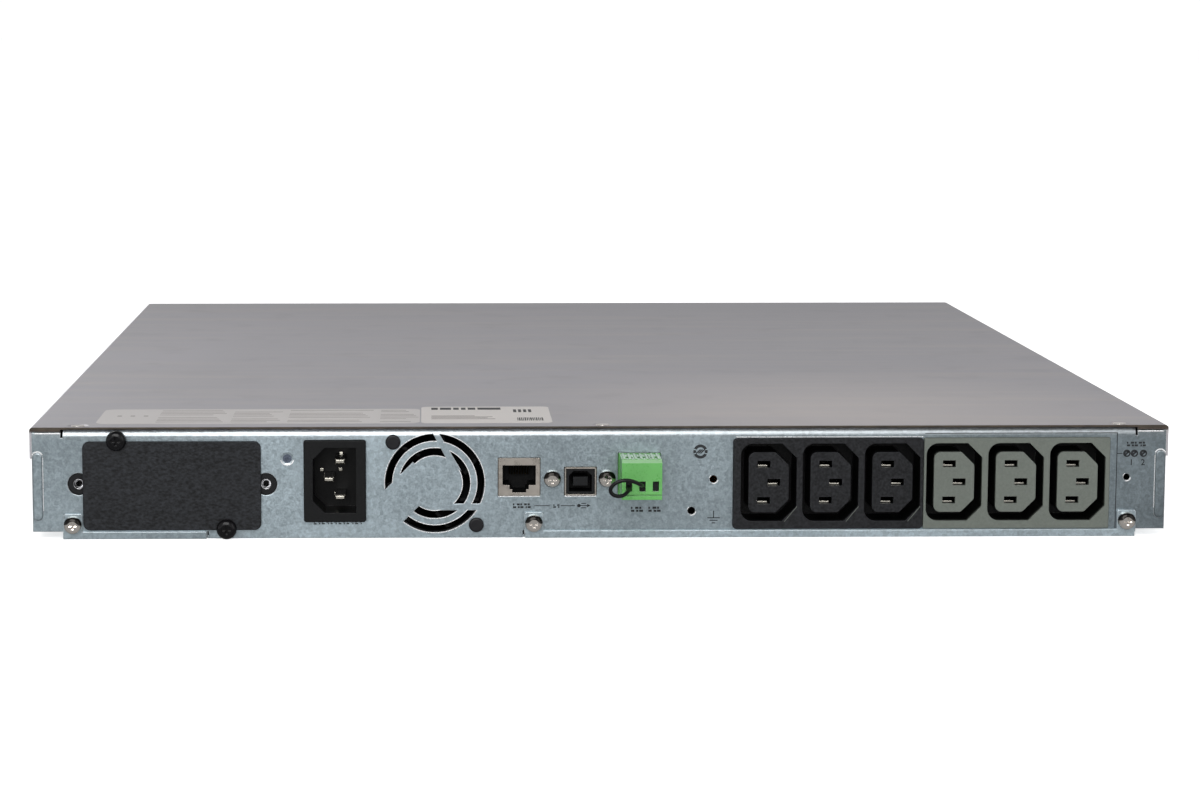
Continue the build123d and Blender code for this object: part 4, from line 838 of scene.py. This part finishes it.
def add_digits(name, text, size, place, turn, ink):
    """Upright digits on a face of the case, printed or shown."""
    data = bpy.data.curves.new(name, "FONT")
    data.body = text
    data.size = size * MM
    data.extrude = 0.02 * MM
    data.offset = 0.03 * MM
    data.align_x = "CENTER"
    data.align_y = "CENTER"
    data.materials.append(ink)
    made = linked(name, data)
    made.location = place
    made.rotation_euler = (math.pi / 2, 0.0, turn)
    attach(made, "chassis")


def add_rear_print(ink):
    """Screen-printed marks on the rear panel."""
    marks = Shape()
    for legend in LEGENDS:
        greeked(marks, *legend)
    for line in PRINT_LINES:
        marks.row(*line)
    marks.bar(*PRINT_UPRIGHT)
    centre, radius = ARROW_DOT
    marks.arc(centre, 0.0, radius, 0, 360)
    marks.panel(ARROW_HEAD)
    for start, end in RING_ARCS:
        marks.arc(RING, *RING_RADII, start, end)
    u, v = RING
    for shift in (-0.8, 0.0, 0.8):
        marks.stroke((u - 0.8 + shift, v - 0.7), (u + 0.8 + shift, v + 0.8), 0.45)
    u, v = EARTH
    marks.bar(u - EARTH_HALF, u + EARTH_HALF, v, v + EARTH_STEM)
    for half, drop in EARTH_BARS:
        marks.row(u - half, u + half, v - drop, EARTH_HALF)
    for u in ICONS:
        marks.arc((u, ICON_V), 0.55, 1.45, 20, 215)
        marks.arc((u, ICON_V), 0.85, 1.45, 215, 380)
        marks.stroke((u - 0.75, ICON_V - 0.75), (u + 0.75, ICON_V + 0.75), 0.75)
    marks.piece("rear_print", "chassis", ink, "label_film")
    for digit, u in DIGITS:
        add_digits("digit_" + digit, digit, DIGIT_SIZE, at(u, DIGIT_V, 0.03), math.pi, ink)


# Fan slots, in millimetres from the fan's middle: radii of the edges, with the side on
# which their metal lies, and the arms that bridge the rings.
FAN = (155.2, 21.3)
SLOT_EDGES = ((19.2, 1), (16.4, -1), (13.7, 1), (10.8, -1))
SLOT_ARMS = (
    ((-1.34, 20.5), (0.96, 20.5), (10.2, 4.8), (5.24, 8.0)),
    ((0.0, -8.0), (22.0, -8.0), (22.0, -10.6), (0.0, -10.6)),
    ((-26.0, -9.4), (-8.4, 8.2), (0.0, 0.0), (0.0, -2.8), (-26.0, -28.8)),
)
# The painted highlight on the burr round the slots: width, rise, and the degrees that one piece of
# it covers.
SLOT_RIM = 0.28
SLOT_RIM_RISE = 0.09
SLOT_RIM_STEP = 3
# Holes and the pressed dimple: u, v, radius. The painted highlights on their burrs: width, from and
# to which degree.
# The dimple's painted shade, a dark disc: its share of the radius, its place and its thickness.
HOLES = ((262.5, 22.6, 1.5), (254.1, 10.3, 1.5), (422.2, 23.0, 1.3))
HOLE_RIMS = ((0.45, 250, 350), (0.3, 120, 165))
DIMPLE = (98.6, 30.9, 2.3)
DIMPLE_RIM = (0.4, 190, 350)
DIMPLE_FLOOR = (0.86, -0.32, 0.05)
RIM_RISE = 0.08
# Painted highlights under the ports, between these distances below their shells.
PORTS = ("rj45_shell", "usb_shell")
PORT_RIM = (0.5, 0.15)
# Painted highlights on edges that catch the light: u, u, v, v of the one above the outlets, the two
# at the ends of the panel's top and the two beside the ridges. Then those on the ridges' rounded
# tops.
BRIGHT_EDGES = (
    (271.0, 343.5, 38.75, 39.05),
    (1.9, 11.8, 40.65, 41.15),
    (426.2, 436.1, 40.65, 41.15),
    (4.82, 5.1, 11.0, 31.5),
    (432.9, 433.18, 11.0, 31.5),
)
RIDGE_CAPS = ((2.9, 31.7), (435.1, 31.7))
RIDGE_RIM = (1.9, 2.35, 25, 155)


def inside(point, outline):
    """Whether a point lies in an outline."""
    x, y = point
    hit = False
    for i, (x0, y0) in enumerate(outline):
        x1, y1 = outline[i - 1]
        if (y0 > y) != (y1 > y) and x < (x1 - x0) * (y - y0) / (y1 - y0) + x0:
            hit = not hit
    return hit


def add_rim_highlights(bright):
    """Painted highlights on the rear panel: thin bright strips on its burrs and edges."""
    rims = Shape()
    for radius, side in SLOT_EDGES:
        low, high = sorted((radius, radius + side * SLOT_RIM))
        for start in range(0, 360, SLOT_RIM_STEP):
            end = start + SLOT_RIM_STEP
            angle = math.radians((start + end) / 2)
            point = (radius * math.cos(angle), radius * math.sin(angle))
            if not any(inside(point, arm) for arm in SLOT_ARMS):
                rims.arc(FAN, low, high, start, end, 0.0, SLOT_RIM_RISE, steps=1)
    burrs = [(hole, rim) for hole in HOLES for rim in HOLE_RIMS] + [(DIMPLE, DIMPLE_RIM)]
    for (u, v, radius), (width, start, end) in burrs:
        rims.arc((u, v), radius, radius + width, start, end, 0.0, RIM_RISE)
    for node in PORTS:
        low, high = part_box(node)
        u0, u1 = (HALF - high.x) / MM, (HALF - low.x) / MM
        v0, v1 = [low.z / MM - drop for drop in PORT_RIM]
        rims.bar(u0, u1, v0, v1, 0.0, RIM_RISE)
    for edge in BRIGHT_EDGES:
        rims.bar(*edge, 0.0, RIM_RISE)
    for cap in RIDGE_CAPS:
        rims.arc(cap, *RIDGE_RIM, 0.0, RIM_RISE)
    rims.piece("painted_rim_highlights", "chassis", bright, "galvanised_steel")


def add_dimple(dark):
    """Painted shade: a dark disc at the bottom of the pressed dimple beside the inlet."""
    shade = Shape()
    u, v, radius = DIMPLE
    share, out, thick = DIMPLE_FLOOR
    shade.arc((u, v), 0.0, radius * share, 0, 360, out, thick)
    shade.piece("dimple_shade", "chassis", dark, "galvanised_steel")


# The labels: u, u, distances of two edges from the cover's rear edge, radius of corners.
LABELS = (
    (24.0, 149.5, 10.0, 52.0, 4.0),
    (150.0, 201.0, 10.0, 58.0, 3.0),
)
LABEL_LIFT = 0.08
LABEL_INK_LIFT = 0.12
# Marks side by side: first u, widths, gap, and the distances from the rear edge between
# which they lie. Spots on the left label, then a bold line, figures and a bar code.
SPOTS = (30.5, (1.7,) * 3, 3.5, 31.0, 33.0)
HEADINGS = (
    (154.0, (2.6, 4.4, 2.2, 1.8, 3.0, 9.2), 0.9, 48.6, 54.6),
    (186.6, (1.2,) * 4, 0.8, 41.0, 49.0),
    (187.6, [0.28 + 0.14 * (i * 5 % 3) for i in range(14)], 0.32, 16.6, 25.0),
)
# The left label's table: first u, widths of the columns, gap between them, number of
# lines, and the first line's distance from the rear edge, the pitch and the thickness.
COLUMNS_U = 47.0
COLUMNS = (26.0, 19.0, 33.0, 15.0)
COLUMNS_GAP = 3.0
TABLE_LINES = 9
TABLE_LAY = (14.0, 4.1, 0.9)
# The right label's short lines: u, lengths, and the same three measures.
SHORT_U = 154.0
SHORT_LINES = (25.0, 22.0, 24.0, 17.0)
SHORT_LAY = (21.0, 2.9, 1.3)


def side_by_side(u, widths, gap, near, far):
    """Marks in a run, as u, u and two distances from the rear edge."""
    marks = []
    for width in widths:
        marks.append((u, u + width, near, far))
        u += width + gap
    return marks


def label_rows():
    """The pale marks of both labels: u, u and distances from the rear edge."""
    rows = side_by_side(*SPOTS)
    first, pitch, thick = TABLE_LAY
    for line in range(TABLE_LINES):
        y = first + line * pitch
        start = COLUMNS_U
        for column, width in enumerate(COLUMNS):
            short = (line * 7 + column * 5) % 6
            if (line + column) % 5 != 4:
                rows.append((start, start + width - short, y, y + thick))
            start += width + COLUMNS_GAP
    first, pitch, thick = SHORT_LAY
    for line, length in enumerate(SHORT_LINES):
        y = first + line * pitch
        rows.append((SHORT_U, SHORT_U + length, y, y + thick))
    return rows


def add_labels(papers, inks):
    """Two films on the cover, with marks in place of their text."""
    low = TOP + LABEL_LIFT * MM
    high = TOP + LABEL_INK_LIFT * MM
    for number, (u0, u1, near, far, radius) in enumerate(LABELS):
        x0, x1 = HALF - u1 * MM, HALF - u0 * MM
        y0, y1 = REAR - far * MM, REAR - near * MM
        label = Shape()
        label.flat(x0, x1, y0, y1, TOP, low, radius * MM)
        made = label.piece(f"label_{number + 1}", "chassis", papers[number], "label_film", 0.00003)
        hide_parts("rating_labels")
    headings = [mark for run in HEADINGS for mark in side_by_side(*run)]
    sets = (("label_print", label_rows(), inks[0]), ("label_headings", headings, inks[1]))
    for name, marks, ink in sets:
        print_on = Shape()
        for a, b, c, d in marks:
            print_on.flat(HALF - b * MM, HALF - a * MM, REAR - d * MM, REAR - c * MM, low, high)
        print_on.piece(name, "chassis", ink, "label_film")


# The green plug: ribs on its top, half their width, how far they keep from its front and
# back, how deep they sink in and how far they rise. All but the count in metres.
RIBS = 7
RIB_HALF = 0.0005
RIB_INSET = 0.0012
RIB_SINK = 0.0001
RIB_RISE = 0.0003
# The clamp plates in its wire entries, near black as painted shade: u, v, half the width and
# height, place and thickness.
PLUG_POLES = (228.9, 234.0, 239.1)
ENTRY_V = 22.3
CLAMP_HALF = (1.18, 1.93)
CLAMP_OUT = (13.9, 0.4)


def add_plug_ribs(green):
    """Low ribs along the top of the green plug."""
    low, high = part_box("terminal_plug")
    near, far = REAR + RIB_INSET, high.y - RIB_INSET
    ribs = Shape()
    for i in range(RIBS):
        x = low.x + (high.x - low.x) * (i + 0.5) / RIBS
        ribs.flat(x - RIB_HALF, x + RIB_HALF, near, far, high.z - RIB_SINK, high.z + RIB_RISE)
    ribs.piece("plug_ribs", "terminal_plug", green, "green_terminal", 0.0001)


def add_wire_clamps(dark):
    """The clamp plates just inside the plug's wire entries, near black as painted shade."""
    plates = Shape()
    wide, tall = CLAMP_HALF
    for u in PLUG_POLES:
        plates.bar(u - wide, u + wide, ENTRY_V - tall, ENTRY_V + tall, *CLAMP_OUT)
    plates.piece("wire_clamps", "terminal_plug", dark, "bright_screws")


# The black outlets: the first one's middle, their pitch and how many there are. Then the
# painted highlight line's two ends, across from an outlet's middle and up from the case's
# base, its width, and its place and rise.
OUTLET_U = 283.7
OUTLET_PITCH = 23.85
OUTLETS = 3
OUTLET_HIGHLIGHT = ((6.2, 6.1), (11.0, 12.0))
OUTLET_HIGHLIGHT_WIDTH = 0.22
OUTLET_HIGHLIGHT_OUT = (1.2, 0.06)


def add_outlet_highlights(material):
    """Painted highlight: a thin pale line below each black outlet's cut corner, where its chamfer
    catches the light.
    """
    lines = Shape()
    for i in range(OUTLETS):
        u = OUTLET_U + OUTLET_PITCH * i
        start, end = [(u + across, v) for across, v in OUTLET_HIGHLIGHT]
        lines.stroke(start, end, OUTLET_HIGHLIGHT_WIDTH, *OUTLET_HIGHLIGHT_OUT)
    lines.piece("outlet_highlights", "chassis", material, "outlet_plastic_black")


# The marks in the inlet: their middles, half their size, their thickness, and in metres
# the depth of the cavity.
INLET_ROOTS = ((118.9, 30.9), (111.3, 24.4), (118.6, 24.6), (118.9, 15.2), (116.9, 15.0))
ROOT_HALF = (0.8, 0.7)
ROOT_RISE = 0.5
INLET_DEPTH = 0.017


def add_inlet_roots(metal):
    """Small bright marks at the bottom of the inlet's cavity."""
    roots = Shape()
    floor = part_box("inlet_housing")[1].y - INLET_DEPTH - REAR
    wide, tall = ROOT_HALF
    for u, v in INLET_ROOTS:
        roots.bar(u - wide, u + wide, v - tall, v + tall, floor / MM, ROOT_RISE)
    roots.piece("inlet_roots", "chassis", metal, "plated_contacts", 0.0002)


# The front

# The display: how far its picture keeps inside the window and lies behind the module's
# face, and the rise of the pane and of its marks.
LCD_INSET = 3.2
LCD_SINK = 0.9
LCD_PANE = 0.2
LCD_RISE = 0.05
# Blocks and lines from the picture's lower left and from its lower right corner: x, x, z, z.
LCD_LEFT = [(3.0 + 2.6 * i, 5.0 + 2.6 * i, 2.4, 6.2) for i in range(5)]
LCD_LEFT += [(2.2, 16.2, 1.4, 1.8), (2.2, 16.2, 6.8, 7.2)]
LCD_RIGHT = [(-14.5 + 3.0 * i, -12.3 + 3.0 * i, 2.4, 6.2) for i in range(4)]
LCD_SHAFT = ((20.0, 4.0), (27.5, 4.0))
LCD_HEAD = ((27.0, 2.8), (29.2, 4.0), (27.0, 5.2))
# The numbers it shows, from the same corners, and how far below its top they lie.
LCD_NUMBERS = (("lcd_volts", "230", 11.0), ("lcd_load", "42", -10.0))
LCD_NUMBER_DROP = 5.0
LCD_NUMBER_SIZE = 7.0
# The ticks beside the status lights: x, x, the lowest one's z, their pitch and count.
TICKS = (110.2, 111.0, 12.0, 6.0, 4)


class FrontShape(Shape):
    """Flat marks on a face that looks towards the front."""

    def __init__(self, face):
        super().__init__()
        self.face = face

    def panel(self, corners, out=0.0, thick=PRINT_RISE):
        """An outline in x and z, in millimetres, raised towards the front."""
        outline = [Vector((x * MM, self.face - out * MM, z * MM)) for x, z in corners]
        self.prism(outline, Vector((0, -thick * MM, 0)))


def add_display(glass, dark):
    """The display's pane and the picture on it."""
    low, high = [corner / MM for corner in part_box("lcd_window")]
    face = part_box("lcd_module")[0].y + LCD_SINK * MM
    x0, x1 = low.x + LCD_INSET, high.x - LCD_INSET
    z0, z1 = low.z + LCD_INSET, high.z - LCD_INSET
    back = FrontShape(face)
    back.bar(x0, x1, z0, z1, 0.0, LCD_PANE)
    back.piece("lcd_glass", "chassis", glass, "display_frame", 0.0001)
    picture = FrontShape(face)
    for corner, blocks in ((x0, LCD_LEFT), (x1, LCD_RIGHT)):
        for a, b, c, d in blocks:
            picture.bar(corner + a, corner + b, z0 + c, z0 + d, LCD_PANE, LCD_RISE)
    start, end = [(x0 + x, z0 + z) for x, z in LCD_SHAFT]
    picture.stroke(start, end, 0.5, LCD_PANE, LCD_RISE)
    picture.panel([(x0 + x, z0 + z) for x, z in LCD_HEAD], LCD_PANE, LCD_RISE)
    picture.piece("lcd_picture", "chassis", dark, "label_film")
    for name, text, along in LCD_NUMBERS:
        x = along + (x0 if along > 0 else x1)
        place = (x * MM, face - 0.23 * MM, (z1 - LCD_NUMBER_DROP) * MM)
        add_digits(name, text, LCD_NUMBER_SIZE, place, 0.0, dark)


def add_front_symbols(ink):
    """The symbols by the buttons and the ticks by the status lights."""
    marks = FrontShape(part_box("control_bezel")[0].y)
    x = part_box("nav_button_up")[0].x / MM - 2.6
    for node, way in (("nav_button_up", 1), ("nav_button_down", -1)):
        z = middle(node).z / MM
        base = z - 0.7 * way
        marks.panel(((x - 1.0, base), (x + 1.0, base), (x, z + 1.0 * way)))
    z = middle("nav_button_enter").z / MM
    marks.row(x - 0.9, x + 1.0, z, 0.15)
    marks.bar(x + 0.7, x + 1.0, z, z + 1.2)
    marks.panel(((x - 1.4, z), (x - 0.6, z + 0.7), (x - 0.6, z - 0.7)))
    x, z = middle("power_button").x / MM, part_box("power_button")[1].z / MM + 4.4
    marks.arc((x, z), 1.2, 1.6, 125, 415)
    marks.bar(x - 0.2, x + 0.2, z + 0.3, z + 2.1)
    x0, x1, lowest, pitch, count = TICKS
    for i in range(count):
        marks.row(x0, x1, lowest + pitch * i, 0.2)
    marks.piece("front_symbols", "chassis", ink, "label_film")


# The battery blocks: how many across and along. Then, in metres, a label's place on its
# block and its size, and its lines: where they start, where the longest one ends, the step
# by which others are shorter, the first one's place, their pitch and their thickness.
BLOCKS = (2, 3)
BLOCK_LABEL_PLACE = (0.032, 0.022)
BLOCK_LABEL_SIZE = (0.086, 0.044)
BLOCK_LABEL_LIFT = 0.12
BLOCK_LINES = 5
BLOCK_LINE = (0.005, 0.078, 0.009, 0.007, 0.0068, 0.0018)


def add_battery_labels(paper, dark):
    """A film with plain lines on each battery block."""
    low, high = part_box("battery_blocks")
    across = (high.x - low.x) / BLOCKS[0]
    along = (high.y - low.y) / BLOCKS[1]
    wide, long = BLOCK_LABEL_SIZE
    start, end, step, first, pitch, thick = BLOCK_LINE
    lift = BLOCK_LABEL_LIFT * MM
    films, marks = Shape(), Shape()
    for column in range(BLOCKS[0]):
        for row in range(BLOCKS[1]):
            x = low.x + across * column + BLOCK_LABEL_PLACE[0]
            y = low.y + along * row + BLOCK_LABEL_PLACE[1]
            films.flat(x, x + wide, y, y + long, high.z, high.z + lift)
            for line in range(BLOCK_LINES):
                right = x + end - step * ((line * 3 + row) % 4)
                near = y + first + pitch * line
                top = high.z + 1.5 * lift
                marks.flat(x + start, right, near, near + thick, high.z + lift, top)
    films.piece("battery_labels", "battery_tray", paper, "label_film", 0.00005)
    marks.piece("battery_marks", "battery_tray", dark, "label_film")


def main():
    """Builds the studio, the materials and the pieces."""
    add_camera()
    add_studio()
    paints = paint_frame()
    add_jumper(paints["wire_insulation"])
    ink = film("ink", tone(22, 26, 30), 0.12, 0.5).material
    pale_ink = film("label_ink", tone(146, 140, 138), 0.12, 0.5).material
    front_ink = film("front_ink", tone(178, 182, 186), 0.06, 0.5).material
    papers = [
        film("label_clear", tone(205, 201, 199), 0.05).material,
        film("label_white", tone(219, 214, 210), 0.04).material,
    ]
    glass = film("lcd_glass", tone(118, 140, 132), 0.05, 0.25).material
    # Painted highlights: a near white metal for the bright strips on the rear panel.
    bright = worked("painted_edge_highlight", tone(250, 252, 253), 0.3, 0.6, {"spread": 0.05, "relief": 0.05})
    # Painted shade: a dark zinc for the dimple's bottom.
    shade = worked("shaded_zinc", tone(86, 94, 108), 0.5, 0.6, {"spread": 0.1})
    # Painted shade: a near black steel for the clamp plates in the plug's entries.
    clamp = worked("clamp_painted_shade", tone(16, 17, 18), 0.5, 0.4, {"relief": 0.1})
    add_rear_print(ink)
    add_rim_highlights(bright.material)
    add_dimple(shade.material)
    add_labels(papers, (pale_ink, ink))
    add_plug_ribs(paints["green_terminal"])
    add_wire_clamps(clamp.material)
    add_outlet_highlights(paints["outlet_plastic_grey"])
    add_inlet_roots(paints["plated_straps"])
    add_display(glass, ink)
    add_front_symbols(front_ink)
    add_battery_labels(papers[1], ink)


main()
